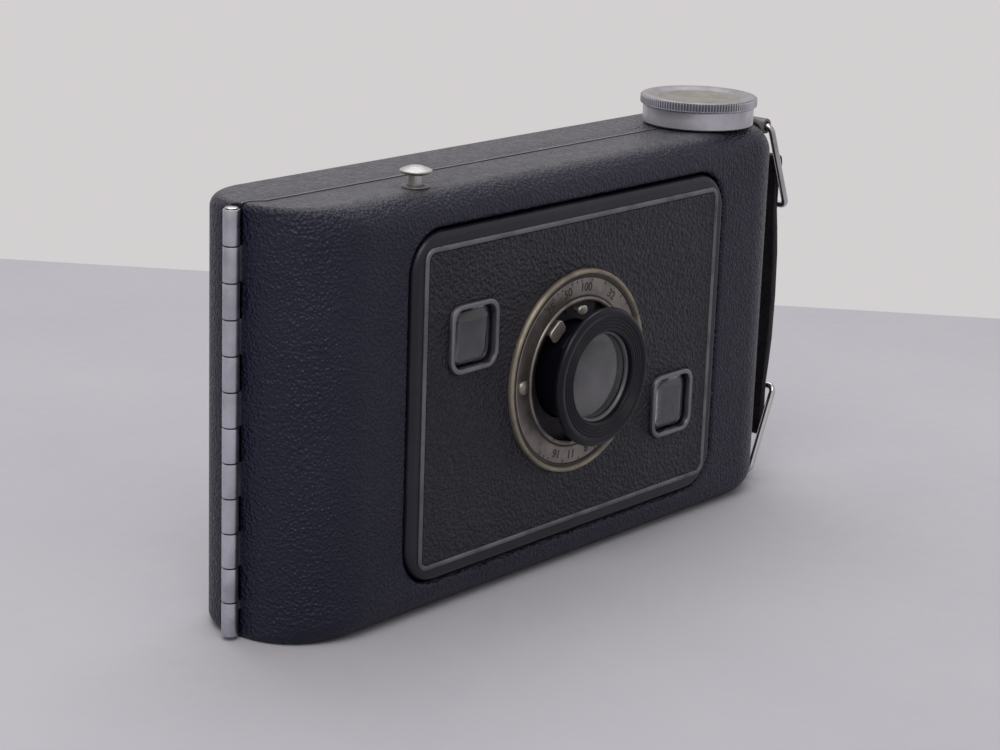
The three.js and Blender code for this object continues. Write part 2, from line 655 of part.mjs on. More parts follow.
// A disc over the opening on an arm that swings about the housing's pin.
function shutterBlade() {
  const [front, rear] = [-5.8, -5.4];
  const [pivotX, pivotZ] = BLADE_PIVOT;
  const drop = AXIS_HEIGHT - pivotZ;
  const disc = postY(0, AXIS_HEIGHT, 5.6, front, rear, 24);
  const boss = postY(pivotX, pivotZ, 2.2, front, rear, 16);
  const arm = box(0, Math.hypot(pivotX, drop), front, rear, -1.8, 1.8).rotateY(Math.atan2(drop, pivotX));
  const whole = join(disc, boss, arm.translate(0, 0, AXIS_HEIGHT));
  return cut(whole, postY(pivotX, pivotZ, 0.95, front - 1, rear + 1, 12));
}

add('shutter_blade', shutterBlade(), steel());

// Turns a piece drawn at twelve o'clock round the lens axis, clockwise as seen from the front.
function clockwise(geometry, angle) {
  return geometry.translate(0, 0, -AXIS_HEIGHT).rotateY(degrees(angle)).translate(0, 0, AXIS_HEIGHT);
}

// A lever under the ring: a sector between two clock angles with a raised finger tab.
function ringLever(from, to, tabAngle, halfWidth, tabInner, tabOuter, tabFace) {
  const plate = plateY(sector(12.6, 16.4, degrees(90 - to), degrees(90 - from)), -10.5, -10, 10);
  const tab = join(
    box(-halfWidth, halfWidth, tabFace, tabFace + 0.7, AXIS_HEIGHT + tabInner, AXIS_HEIGHT + tabOuter),
    box(-halfWidth, halfWidth, tabFace, -10, AXIS_HEIGHT + tabOuter - 0.8, AXIS_HEIGHT + tabOuter),
  );
  return join(plate, clockwise(tab, tabAngle));
}

add('shutter_lever', ringLever(-115, -24, -38, 2.35, 10.7, 13.7, -12.2), nickel());
add('time_lever', ringLever(-15, 25, 0.8, 1.35, 11.9, 13.7, -12.2), nickel());

// The lip at the front of the bezel holds the glass on its seat.
add('lens_bezel', turnedOnLens([
  [LIP.root, BEZEL.front], [BEZEL.radius - 0.9, BEZEL.front], [BEZEL.radius - 0.2, BEZEL.front + 0.4],
  [BEZEL.radius, BEZEL.front + 0.8], [BEZEL.radius, BEZEL.rear - 0.4], [BEZEL.radius - 0.4, BEZEL.rear],
  [BEZEL.neck, BEZEL.rear], [BEZEL.neck, BEZEL.foot], [BARREL.bore, BEZEL.foot], [BARREL.bore, BEZEL.seat],
  [LIP.root, BEZEL.seat], [LIP.root, LIP.rear], [LIP.inner, LIP.rear], [LIP.inner + 0.25, LIP.front],
  [LIP.root - 0.1, LIP.front],
]), bezelBlack());
add('lens_barrel', turnedOnLens([
  [BARREL.bore, BARREL.tail], [BARREL.radius, BARREL.tail],
  [BARREL.radius, BEZEL.foot], [BARREL.bore, BEZEL.foot],
]), bezelBlack());
add('front_lens', turnedOnLens([
  [0, BEZEL.seat - 0.05], [GLASS.radius, BEZEL.seat - 0.05], [GLASS.radius, GLASS.edge],
  [7, GLASS.crown + 0.4], [4, GLASS.crown + 0.12], [0, GLASS.crown],
]), glass());

// ---- finders: frame, glass, hood and mirror behind each window

function finder(side, centre, lightTurn) {
  const [x, z] = centre;
  add(`finder_frame_${side}`, cut(
    pillowY(finderSquare(centre, FINDER.outer, FINDER.corner), FINDER.face, COVERING.seat, 0.35, 1),
    plateY(finderSquare(centre, FINDER.opening, 2.2), -13, -9, 3),
  ), nickel());
  add(`finder_glass_${side}`, pillowY(finderSquare(centre, 11.3, 2.2), -11.5, -9.2, 0.9), glass());

  const place = (geometry) => geometry.rotateY(lightTurn).translate(x, 0, z);
  add(`finder_hood_${side}`, cut(
    place(box(-6.7, 6.7, -8.9, FINDER.boxRear, -6.7, 6.7)),
    place(box(-5.9, 5.9, -10, FINDER.boxRear - 0.8, -5.9, 5.9)),
    place(box(-5.2, 5.2, -7.5, 2.5, 0, 8)),
  ), blackSteel());

  const glassPlate = add(`finder_mirror_${side}`, new THREE.BoxGeometry(11, 14.2, 0.7), mirror());
  const holder = new THREE.Group();
  glassPlate.rotation.x = Math.PI / 4;
  holder.position.set(x, -2.9, z);
  holder.rotation.y = lightTurn;
  holder.add(glassPlate);
  camera.add(holder);
}

finder('left', FINDERS.left, 0);
finder('right', FINDERS.right, Math.PI / 2);

add('panel_catch', join(
  box(-38.9, -35, -8.9, -4.5, 75, 75.75),
  box(-38.9, -35, -4.95, -4.5, 75, 76.6),
  box(-38.9, -35, -4.95, -1.4, 75.95, 76.6),
  box(-38.9, -35, -2.1, -1.4, 75.15, 76.6),
), steel());

// ---- folding struts: a crossed pair above and below the bellows

function stadium(x0, x1, y, width) {
  return roundedRect((x0 + x1) / 2, y, x1 - x0 + width, width, width / 2 - 0.01);
}

function strutSet(name, sign) {
  const half = BAR.length / 2;
  const outer = offAxis(sign, BAR.outer, BAR.outer + BAR.thick);
  const inner = offAxis(sign, BAR.inner, BAR.inner + BAR.thick);
  const strip = stadium(-half, half, BAR.y, BAR.width);
  add(`strut_a_${name}`, join(
    cut(plateZ(strip, ...outer, 5), postZ(-half, BAR.y, 1.35, -1, 90, 12)),
    postZ(0, BAR.y, 1.2, ...offAxis(sign, BAR.inner - 0.4, BAR.outer + 0.1), 12),
  ), nickel());
  add(`strut_b_${name}`, cut(plateZ(strip, ...inner, 5), postZ(0, BAR.y, 1.5, -1, 90, 12)), nickel());
  add(`strut_bracket_${name}`, join(
    cut(box(-49, 49, -3.8, 5, ...offAxis(sign, 33, 33.8)), box(-43.2, -34, -5, 3.5, -1, 90)),
    box(-30, 30, 4.2, 5, ...offAxis(sign, 33.7, 40.5)),
    postZ(-half, BAR.y, 1.1, ...offAxis(sign, 31.2, 33.2), 12),
  ), blackSteel());
}

strutSet('top', 1);
strutSet('bottom', -1);

// ---- bellows, folded up behind the panel

function frustum(y0, halfX0, halfZ0, y1, halfX1, halfZ1) {
  const corners = [];
  for (const [y, halfX, halfZ] of [[y0, halfX0, halfZ0], [y1, halfX1, halfZ1]]) {
    for (const [sx, sz] of [[-1, -1], [-1, 1], [1, -1], [1, 1]]) {
      corners.push(new THREE.Vector3(sx * halfX, y, AXIS_HEIGHT + sz * halfZ));
    }
  }
  return new ConvexGeometry(corners);
}

const BELLOWS = { front: -8.8, throat: 4.5, rear: 12.6, collar: 21, wideX: 43, wideZ: 29, wall: 2 };

function bellows() {
  const { front, throat, rear, collar, wideX, wideZ, wall } = BELLOWS;
  const outside = join(
    frustum(front, collar, collar, throat, collar, collar),
    frustum(throat, collar, collar, rear, wideX, wideZ),
  );
  return cut(
    outside,
    frustum(front - 1, collar - wall, collar - wall, throat + 0.1, collar - wall, collar - wall),
    frustum(throat, collar - wall, collar - wall, rear + 0.01, wideX - wall, wideZ - wall),
  );
}

add('bellows', bellows(), bellowsLeather());

// ---- button spring

add('button_spring', new THREE.ExtrudeGeometry(
  new THREE.Shape().absarc(0, 0, 0.28, 0, Math.PI * 2),
  {
    steps: 32,
    curveSegments: 3,
    bevelEnabled: false,
    extrudePath: new Helix([BUTTON.x, BUTTON.y], 2.1, 77.2, 80.8, 3.5),
  },
), steel());

// ---- carrying strap on the right end

// A curled strip that follows the rounded edge of the right end up to the angle reach.
function strapLug(name, reach, flip) {
  const [edgeX, edgeZ] = [BODY_RIGHT - EDGE_RADIUS, BODY_HEIGHT - EDGE_RADIUS];
  const band = new THREE.Shape();
  band.absarc(edgeX, edgeZ, EDGE_RADIUS + 0.9, degrees(32), degrees(reach), false);
  band.absarc(edgeX, edgeZ, EDGE_RADIUS + 0.1, degrees(reach), degrees(32), true);
  const sides = [LOOP.near + 1.1, LOOP.far - 1.1];
  const eye = postY(LOOP.topX, LOOP.topZ, 1.7, ...sides, 16);
  const bore = postY(LOOP.topX, LOOP.topZ, LOOP.wire + 0.3, -20, 20, 12);
  const lug = cut(join(plateY(band, ...sides, 8), eye), bore);
  add(name, flip ? lug.rotateX(Math.PI).translate(0, LOOP.near + LOOP.far, BODY_HEIGHT) : lug, nickel());
}

strapLug('strap_lug_top', 76, false);
strapLug('strap_lug_bottom', 56, true);

function strapLoop(name, mirrored) {
  const level = (z) => (mirrored ? BODY_HEIGHT - z : z);
  add(name, wire([
    [LOOP.topX, LOOP.near, level(LOOP.topZ)], [LOOP.topX, LOOP.far, level(LOOP.topZ)],
    [LOOP.outX, LOOP.far, level(LOOP.outZ)], [LOOP.outX, LOOP.near, level(LOOP.outZ)],
  ], LOOP.wire), nickel());
}

strapLoop('strap_loop_top', false);
strapLoop('strap_loop_bottom', true);

add('carrying_strap', join(
  box(STRAP.inner, STRAP.outer, STRAP.near, STRAP.far, STRAP.low, STRAP.high),
  box(STRAP.inner - 0.4, STRAP.outer + 0.6, STRAP.near, STRAP.far, STRAP.low, STRAP.low + STRAP.tip),
  box(STRAP.inner - 0.4, STRAP.outer + 0.6, STRAP.near, STRAP.far, STRAP.high - STRAP.tip, STRAP.high),
), strapLeather());

export default camera;
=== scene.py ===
"""Folding roll-film camera, closed: its visible surfaces and studio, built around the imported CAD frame.

Lengths in this script are millimetres in the frame's own axes, and one function turns them into metres.
The lens looks along -Y, the winding knob stands up along +Z and the back cover is hinged at the left end.
"""

import math

import bmesh
import bpy
from mathutils import Matrix, Vector


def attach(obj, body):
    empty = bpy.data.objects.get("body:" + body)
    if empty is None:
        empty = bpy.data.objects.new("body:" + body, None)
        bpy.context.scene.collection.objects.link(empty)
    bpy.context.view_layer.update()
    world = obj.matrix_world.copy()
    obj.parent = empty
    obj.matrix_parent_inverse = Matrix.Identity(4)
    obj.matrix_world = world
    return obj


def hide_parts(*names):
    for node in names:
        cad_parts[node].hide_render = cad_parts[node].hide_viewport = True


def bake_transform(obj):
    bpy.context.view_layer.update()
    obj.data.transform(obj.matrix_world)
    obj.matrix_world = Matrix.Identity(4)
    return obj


MM = 0.001

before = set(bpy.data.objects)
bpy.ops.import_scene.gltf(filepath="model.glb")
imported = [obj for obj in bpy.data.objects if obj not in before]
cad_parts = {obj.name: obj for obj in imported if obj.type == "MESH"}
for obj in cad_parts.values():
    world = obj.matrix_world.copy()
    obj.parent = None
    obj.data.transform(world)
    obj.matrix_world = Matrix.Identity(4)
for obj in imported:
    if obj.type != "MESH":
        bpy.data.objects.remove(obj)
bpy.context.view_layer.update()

# ------------ driving dimensions

BODY_HEIGHT = 84
BODY_FRONT = -10.3
BODY_BACK = 22
SHELL_LEFT = -76
COVER_LEFT = -77.4
BODY_RIGHT = 74.8
FRONT_LEFT_RADIUS = 17
FRONT_RIGHT_RADIUS = 13.7
BACK_RADIUS = 13
EDGE_RADIUS = 6
SHELL_ROLLS = {"left": 1.2, "right": 6, "front": 6, "back": 6}
COVER_ROLLS = {"left": 2.5, "right": 6, "front": 6, "back": 2.5}
WALL = 1.4
FAR = 120
CIRCLE_STEPS = 96

PARTING = 5.4
PARTING_LEFT = 6.9
PARTING_RIGHT = 9.2
PARTING_GAP = 0.35
LIP_WIDTH = 0.55
LIP_PROUD = 0.12

HINGE_X = -77.7
HINGE_Y = 7.9
HINGE_LOW = 0.8
HINGE_HIGH = 83.2
HINGE_RADIUS = 1.6
HINGE_BORE = 0.9
KNUCKLES = 12
KNUCKLE_GAP = 0.2
LEAF_Y = 9.85
LEAF_ROOM = 0.5
LEAF_THICKNESS = 0.7
LEAF_FRONT = 5.7
LEAF_REAR = 10.8
HINGE_AXIS = (HINGE_X, HINGE_Y)

AXIS_HEIGHT = 42
PANEL_WIDTH = 97.6
PANEL_HEIGHT = 69.6
PANEL_CORNER = 8
PANEL_FACE = -10.8
PANEL_REAR = -9
PANEL_SKIRT = -5
PANEL_WALL = 1
PANEL_ROLL = 1.4
PANEL_BORE = 16.8
OPENING_GAP = 0.5
LIP_ROLL = 1.0
PANEL_CUT = (-13, -8)
COVERING_CUT = (-13, -9)
EAR_X = (-47, -43)
RAIL_X = (8, 47)
RAIL_REAR = -3.2
RAIL_BAND = (29.2, 30)

BORDER_WIDTH = 91.06
BORDER_HEIGHT = 63
BORDER_LINE = 1.05
BORDER_CORNER = 2
BORDER_FACE = -11.25
COVERING_FACE = -11.08
COVERING_SEAT = -10.83

RING_OUTER = 21.1
RING_INNER = 14.6
RING_PLATE = -11.6
RING_SEAT = -10.83
BEZEL_RADIUS = 14.3
BEZEL_FRONT = -18.6
BEZEL_REAR = -16.9
BEZEL_INNER = 9.4
BEZEL_NECK = 10.8
BEZEL_GROOVES = (10.1, 10.75, 11.4, 12.05)
BARREL_RADIUS = 9.9
BARREL_BORE = 7.8
BARREL_TAIL = -7.6
BARREL_FRONT = -13.8
LENS_SEAT = -15.1
LENS_EDGE = -16.25
LENS_CROWN = -17.2
LENS_RADIUS = 9.1

FINDER_OUTER = 13.8
FINDER_OPENING = 11.7
FINDER_CORNER = 3
FINDER_FACE = -12
FINDERS = {"left": (-32.2, 55), "right": (32.5, 28.7)}

KNOB_X = 57.7
KNOB_Y = 4
KNOB_BASE = 84.4
KNOB_SKIRT = 12.1
KNOB_RIM = 12.74
KNOB_RIM_LOW = 88.5
KNOB_TOP = 90.5
KNURL_TEETH = 120
KNURL_DEPTH = 0.42
KNOB_AXIS = (KNOB_X, KNOB_Y)
KNOB_HOLE = 5.2
KNOB_HOLE_COVER = 5.6

BUTTON_X = -40.6
BUTTON_Y = -2.9
BUTTON_AXIS = (BUTTON_X, BUTTON_Y)
BUTTON_HOLE = 2.5

WINDOW = (30, AXIS_HEIGHT)
WINDOW_HOLE = 5.4
WINDOW_BORE = 3.6
WINDOW_BODY = 5.1
WINDOW_FLANGE = 6.3
LATCH_SLOT = (68, 78, 11.2, 14.4, 38.9, 48.2)
LATCH_RIDGES = (39, 40.4, 41.8, 43.2, 44.6)
TRIPOD = (36, 0.3)
TRIPOD_HOLE = 4.4

BAR_HALF = 45
BAR_Y = 1.5
BAR_HALF_WIDTH = 2.5
STRUT_A_BAND = (31.4, 32.2)
STRUT_B_BAND = (30.3, 31.1)
RIVET_BAND = (29.9, 31.5)

LOOP_TOP = (75.6, 82.3)
LOOP_OUT = (83.5, 63.4)
LOOP_NEAR = -3.2
LOOP_FAR = 8
LOOP_WIRE = 0.75

# ------------ meshes


def cleaned(mesh, angle):
    """Welds the mesh, turns its faces outwards and shades it smooth except across sharp edges."""
    work = bmesh.new()
    work.from_mesh(mesh)
    bmesh.ops.remove_doubles(work, verts=work.verts, dist=1e-7)
    bmesh.ops.recalc_face_normals(work, faces=work.faces)
    work.to_mesh(mesh)
    work.free()
    mesh.shade_smooth()
    mesh.set_sharp_from_angle(angle=math.radians(angle))
    return mesh


def solid(name, points, faces):
    """An object from points in millimetres."""
    mesh = bpy.data.meshes.new(name)
    mesh.from_pydata([[value * MM for value in point] for point in points], [], faces)
    made = bpy.data.objects.new(name, cleaned(mesh, 35))
    bpy.context.scene.collection.objects.link(made)
    return made


def skin(rings, closed):
    """The points of a stack of loops with equal counts, and the faces between neighbouring loops."""
    count = len(rings[0])
    faces = []
    for k in range(len(rings) - (0 if closed else 1)):
        low = k * count
        high = ((k + 1) % len(rings)) * count
        for i in range(count):
            j = (i + 1) % count
            faces.append((low + i, low + j, high + j, high + i))
    return [point for ring in rings for point in ring], faces


def loft(name, rings, closed=False):
    """Skins a stack of loops. A closed stack joins last to first, others are capped."""
    points, faces = skin(rings, closed)
    if not closed:
        count = len(rings[0])
        faces.append(tuple(range(count)))
        faces.append(tuple(range(len(points) - count, len(points))))
    return solid(name, points, faces)


def settle(piece):
    """Replaces the mesh with the result of its modifiers."""
    bpy.context.view_layer.update()
    graph = bpy.context.evaluated_depsgraph_get()
    mesh = bpy.data.meshes.new_from_object(piece.evaluated_get(graph))
    piece.modifiers.clear()
    piece.data = mesh
    return piece


def combine(piece, tools, operation):
    for tool in tools:
        change = piece.modifiers.new("change", "BOOLEAN")
        change.operation = operation
        change.solver = "EXACT"
        change.object = tool
        settle(piece)
        bpy.data.objects.remove(tool)
    cleaned(piece.data, 35)
    return piece


def cut(piece, *tools):
    return combine(piece, tools, "DIFFERENCE")


def keep_inside(piece, *tools):
    return combine(piece, tools, "INTERSECT")


def gather(piece, *others):
    """Adds the meshes of the others to the first piece."""
    work = bmesh.new()
    work.from_mesh(piece.data)
    for other in others:
        work.from_mesh(other.data)
        bpy.data.objects.remove(other)
    work.to_mesh(piece.data)
    work.free()
    cleaned(piece.data, 35)
    return piece


def soften(piece, width, segments=2, angle=50):
    """Breaks the sharp edges with a narrow round."""
    bevel = piece.modifiers.new("soften", "BEVEL")
    bevel.width = width * MM
    bevel.segments = segments
    bevel.limit_method = "ANGLE"
    bevel.angle_limit = math.radians(angle)
    bevel.miter_outer = "MITER_ARC"
    settle(piece)
    cleaned(piece.data, 40)
    return piece


def moved(piece, matrix):
    piece.data.transform(matrix)
    return piece


# ------------ outlines


def arc(cx, cy, radius, start, end, steps):
    """Points on an arc between two angles in degrees, both ends included."""
    turn = [math.radians(start + (end - start) * i / steps) for i in range(steps + 1)]
    return [(cx + radius * math.cos(a), cy + radius * math.sin(a)) for a in turn]


def rounded(cx, cy, width, height, corner, steps=10):
    right = cx + width / 2 - corner
    left = cx - width / 2 + corner
    top = cy + height / 2 - corner
    low = cy - height / 2 + corner
    return (
        arc(right, low, corner, -90, 0, steps)
        + arc(right, top, corner, 0, 90, steps)
        + arc(left, top, corner, 90, 180, steps)
        + arc(left, low, corner, 180, 270, steps)
    )


def at_y(outline, y):
    """An outline drawn in X and Z, placed at one depth."""
    return [(x, y, z) for x, z in outline]


def at_z(outline, z):
    return [(x, y, z) for x, y in outline]


def plate_y(name, outline, y0, y1):
    return loft(name, [at_y(outline, y0), at_y(outline, y1)])


def plate_z(name, outline, z0, z1):
    return loft(name, [at_z(outline, z0), at_z(outline, z1)])


def block(name, x0, x1, y0, y1, z0, z1):
    return plate_z(name, [(x0, y0), (x1, y0), (x1, y1), (x0, y1)], z0, z1)


def circle(cx, cy, radius):
    return arc(cx, cy, radius, 0, 360 * (1 - 1 / CIRCLE_STEPS), CIRCLE_STEPS - 1)


def band(sign, near, far):
    """The low and high Z of a band that lies above or below the lens axis."""
    return sorted((AXIS_HEIGHT + sign * near, AXIS_HEIGHT + sign * far))


def lathe(name, profile, centre, axis="Y", segments=128, wave=None):
    """Turns (radius, height) points about an axis. A profile that starts and ends off the axis is closed."""
    solid_core = profile[0][0] == 0 and profile[-1][0] == 0
    inner = profile[1:-1] if solid_core else profile
    rings = []
    for radius, height in inner:
        ring = []
        for i in range(segments):
            angle = 2 * math.pi * i / segments
            r = radius + (wave(radius, height, angle) if wave else 0)
            if axis == "Y":
                ring.append((centre[0] + r * math.cos(angle), height, centre[1] + r * math.sin(angle)))
            else:
                ring.append((centre[0] + r * math.cos(angle), centre[1] + r * math.sin(angle), height))
        rings.append(ring)
    if not solid_core:
        return loft(name, rings, closed=True)
    points, faces = skin(rings, False)
    for ring, height in ((0, profile[0][1]), (len(rings) - 1, profile[-1][1])):
        tip = len(points)
        points.append((centre[0], height, centre[1]) if axis == "Y" else (centre[0], centre[1], height))
        for i in range(segments):
            faces.append((ring * segments + i, ring * segments + (i + 1) % segments, tip))
    return solid(name, points, faces)


def smooth_profile(corners, radius=0.15, steps=3):
    """Rounds the inner corners of an open profile by a small cut-off, so that they catch light."""
    made = [corners[0]]
    for before, corner, after in zip(corners, corners[1:], corners[2:]):
        here = Vector(corner)
        back = Vector(before) - here
        ahead = Vector(after) - here
        reach = min(radius, back.length * 0.45, ahead.length * 0.45)
        start = here + back.normalized() * reach
        end = here + ahead.normalized() * reach
        for i in range(steps + 1):
            t = i / steps
            point = start * (1 - t) ** 2 + here * 2 * t * (1 - t) + end * t ** 2
            made.append((point.x, point.y))
    made.append(corners[-1])
    return made


def swept(name, path, section, normal):
    """Sweeps a section along a closed flat path. Section points are (outwards, along the normal)."""
    normal = Vector(normal).normalized()
    count = len(path)
    rings = []
    for i in range(count):
        ahead = Vector(path[(i + 1) % count]) - Vector(path[i - 1])
        outward = ahead.normalized().cross(normal)
        here = Vector(path[i])
        rings.append([tuple(here + outward * a + normal * b) for a, b in section])
    return loft(name, rings, closed=True)


# ------------ materials

BRUSHED = (1.0, 1.0, 0.06)
# Light grey for the leatherette's upward faces: partly dust, partly painted light from above.
DUST_AND_TOP_LIGHT = (0.32, 0.31, 0.31)
DUST_ON_METAL = (0.5, 0.48, 0.44)


def nodes_of(name):
    made = bpy.data.materials.new(name)
    made.use_nodes = True
    tree = made.node_tree
    return made, tree, tree.nodes["Principled BSDF"]


def noise(tree, scale, detail=4.0, roughness=0.55, stretch=None):
    """Noise in the piece's own coordinates, optionally stretched."""
    place = tree.nodes.new("ShaderNodeTexCoord")
    made = tree.nodes.new("ShaderNodeTexNoise")
    made.inputs["Scale"].default_value = scale
    made.inputs["Detail"].default_value = detail
    made.inputs["Roughness"].default_value = roughness
    source = place.outputs["Object"]
    if stretch:
        mapping = tree.nodes.new("ShaderNodeMapping")
        mapping.inputs["Scale"].default_value = stretch
        tree.links.new(source, mapping.inputs["Vector"])
        source = mapping.outputs["Vector"]
    tree.links.new(source, made.inputs["Vector"])
    return made.outputs["Fac"]


def pebbles(tree, scale):
    place = tree.nodes.new("ShaderNodeTexCoord")
    made = tree.nodes.new("ShaderNodeTexVoronoi")
    made.feature = "SMOOTH_F1"
    made.inputs["Scale"].default_value = scale
    made.inputs["Smoothness"].default_value = 0.35
    made.inputs["Randomness"].default_value = 1.0
    tree.links.new(place.outputs["Object"], made.inputs["Vector"])
    return made.outputs["Distance"]


def ranged(tree, value, low, high, start=0.3, end=0.7):
    made = tree.nodes.new("ShaderNodeMapRange")
    made.inputs["From Min"].default_value = start
    made.inputs["From Max"].default_value = end
    made.inputs["To Min"].default_value = low
    made.inputs["To Max"].default_value = high
    tree.links.new(value, made.inputs["Value"])
    return made.outputs["Result"]


def mixed(tree, factor, first, second):
    """A colour between two colours or sockets."""
    made = tree.nodes.new("ShaderNodeMix")
    made.data_type = "RGBA"
    tree.links.new(factor, made.inputs["Factor"])
    for socket, colour in ((made.inputs[6], first), (made.inputs[7], second)):
        if isinstance(colour, tuple):
            socket.default_value = (*colour, 1)
        else:
            tree.links.new(colour, socket)
    return made.outputs[2]


def bumped(tree, height, strength, distance, under=None):
    made = tree.nodes.new("ShaderNodeBump")
    made.inputs["Strength"].default_value = strength
    made.inputs["Distance"].default_value = distance * MM
    tree.links.new(height, made.inputs["Height"])
    if under:
        tree.links.new(under, made.inputs["Normal"])
    return made.outputs["Normal"]


def facing_up(tree, start, end):
    """How far a surface faces upwards, from 0 to 1."""
    shape = tree.nodes.new("ShaderNodeNewGeometry")
    split = tree.nodes.new("ShaderNodeSeparateXYZ")
    tree.links.new(shape.outputs["Normal"], split.inputs["Vector"])
    return ranged(tree, split.outputs["Z"], 0.0, 1.0, start, end)


def grained(name, base, worn, rough, pebble, depth, specular=0.4, dust=0.0, sheen=0.0):
    """Leather, leatherette or crackled paint: pebbles, creases and worn, dusty patches. With dust, faces that
    look upwards get lighter speckles, partly dust and partly painted light from above.
    """
    made, tree, shader = nodes_of(name)
    wear = ranged(tree, noise(tree, 60, 5), 0.0, 1.0, 0.45, 0.75)
    colour = mixed(tree, wear, base, worn)
    # Upward faces get lighter speckles: partly dust, partly painted light falling on the top.
    if dust:
        lying = facing_up(tree, 0.82, 1.0)
        top_dust_and_light = tree.nodes.new("ShaderNodeMath")
        top_dust_and_light.operation = "MULTIPLY"
        tree.links.new(lying, top_dust_and_light.inputs[0])
        tree.links.new(ranged(tree, noise(tree, 420, 6), dust * 0.4, dust), top_dust_and_light.inputs[1])
        colour = mixed(tree, top_dust_and_light.outputs["Value"], colour, DUST_AND_TOP_LIGHT)
    tree.links.new(colour, shader.inputs["Base Color"])
    tree.links.new(ranged(tree, noise(tree, pebble * 0.8, 3), rough[0], rough[1]), shader.inputs["Roughness"])
    shader.inputs["Specular IOR Level"].default_value = specular
    shader.inputs["Sheen Weight"].default_value = sheen
    creases = bumped(tree, noise(tree, pebble * 0.4, 5), 0.8, depth * 0.8)
    fine = bumped(tree, pebbles(tree, pebble * 1.9), 0.6, depth * 0.5, creases)
    tree.links.new(bumped(tree, pebbles(tree, pebble), 1.0, depth, fine), shader.inputs["Normal"])
    return made


def metal(name, base, stain, rough, metallic=1.0, grit=0.03, stain_scale=70, dust=0.0, specular=0.5):
    """Plated or bare metal: stains, uneven polish, brush lines or fine scratches."""
    made, tree, shader = nodes_of(name)
    patch = ranged(tree, noise(tree, stain_scale, 6, 0.62), 0.0, 1.0, 0.42, 0.72)
    colour = mixed(tree, patch, base, stain)
    if dust:
        grains = ranged(tree, noise(tree, 900, 3), 0.0, dust, 0.5, 0.8)
        colour = mixed(tree, grains, colour, DUST_ON_METAL)
    tree.links.new(colour, shader.inputs["Base Color"])
    tree.links.new(ranged(tree, noise(tree, 240, 6, 0.6), rough[0], rough[1]), shader.inputs["Roughness"])
    shader.inputs["Metallic"].default_value = metallic
    shader.inputs["Specular IOR Level"].default_value = specular
    first = bumped(tree, noise(tree, 700, 4), 0.35, grit)
    lines = noise(tree, 900, 2, 0.5, BRUSHED)
    tree.links.new(bumped(tree, lines, 0.3, grit * 0.6, first), shader.inputs["Normal"])
    return made


def clear(name, tint, haze, rough, through=0.7, coat=0.0, cloud=180):
    """Old glass with a film of haze that thins and thickens. On the front lens its large patches are also
    painted reflection, lighter in some parts and darker in others.
    """
    made, tree, shader = nodes_of(name)
    film = ranged(tree, noise(tree, cloud, 5), 0.0, 1.0, 0.35, 0.7)
    tree.links.new(mixed(tree, film, tint, haze), shader.inputs["Base Color"])
    tree.links.new(ranged(tree, noise(tree, 500, 6), rough[0], rough[1]), shader.inputs["Roughness"])
    shader.inputs["Transmission Weight"].default_value = through
    shader.inputs["IOR"].default_value = 1.5
    shader.inputs["Coat Weight"].default_value = coat
    tree.links.new(bumped(tree, noise(tree, 800, 3), 0.15, 0.01), shader.inputs["Normal"])
    return made


# Its dust setting lightens the upward faces: partly dust, partly painted light on the top.
LEATHERETTE = grained("leatherette", (0.0038, 0.0044, 0.0175), (0.0072, 0.0078, 0.0225), (0.3, 0.5), 1500,
                      0.32,
                      specular=0.34, dust=0.2)
COVERING = grained("panel_leatherette", (0.0075, 0.0073, 0.014), (0.0135, 0.0128, 0.02), (0.28, 0.5), 1200,
                   0.5,
                   specular=0.32)
ENAMEL = grained("black_enamel", (0.0072, 0.007, 0.0135), (0.0145, 0.014, 0.021), (0.3, 0.44), 2600, 0.02,
                 specular=0.36)
BORDER_PAINT = metal("border_paint", (0.15, 0.145, 0.155), (0.07, 0.068, 0.074), (0.38, 0.55), 0.6,
                     stain_scale=160)
NICKEL = metal("nickel", (0.54, 0.545, 0.6), (0.36, 0.36, 0.4), (0.26, 0.42), stain_scale=130)
BRIGHT_NICKEL = metal("bright_nickel", (0.6, 0.59, 0.6), (0.4, 0.39, 0.38), (0.12, 0.26), grit=0.012)
BUTTON_NICKEL = metal("button_nickel", (0.56, 0.55, 0.54), (0.42, 0.41, 0.4), (0.4, 0.54), grit=0.012)
LEVER_NICKEL = metal("lever_nickel", (0.55, 0.51, 0.47), (0.4, 0.36, 0.31), (0.34, 0.5), 0.8, grit=0.02)
FINDER_METAL = metal("finder_frame", (0.22, 0.215, 0.235), (0.12, 0.115, 0.125), (0.36, 0.52))
BRASS = metal("old_brass", (0.31, 0.275, 0.215), (0.16, 0.145, 0.125), (0.46, 0.62), 0.85, stain_scale=210)
PLATE = metal("ring_plate", (0.26, 0.235, 0.215), (0.13, 0.118, 0.108), (0.36, 0.56), stain_scale=230)
ENGRAVING = metal("engraving", (0.02, 0.018, 0.016), (0.05, 0.045, 0.04), (0.5, 0.7), 0.2)
ALUMINIUM = metal("satin_aluminium", (0.56, 0.555, 0.6), (0.38, 0.375, 0.4), (0.34, 0.5), stain_scale=120)
TARNISH = metal("tarnished_top", (0.29, 0.275, 0.255), (0.215, 0.2, 0.183), (0.5, 0.68), 0.8,
                stain_scale=240, dust=0.2)
RIDGE = metal("worn_ridge", (0.35, 0.34, 0.355), (0.23, 0.222, 0.23), (0.48, 0.64), 0.85, stain_scale=200,
              dust=0.1)
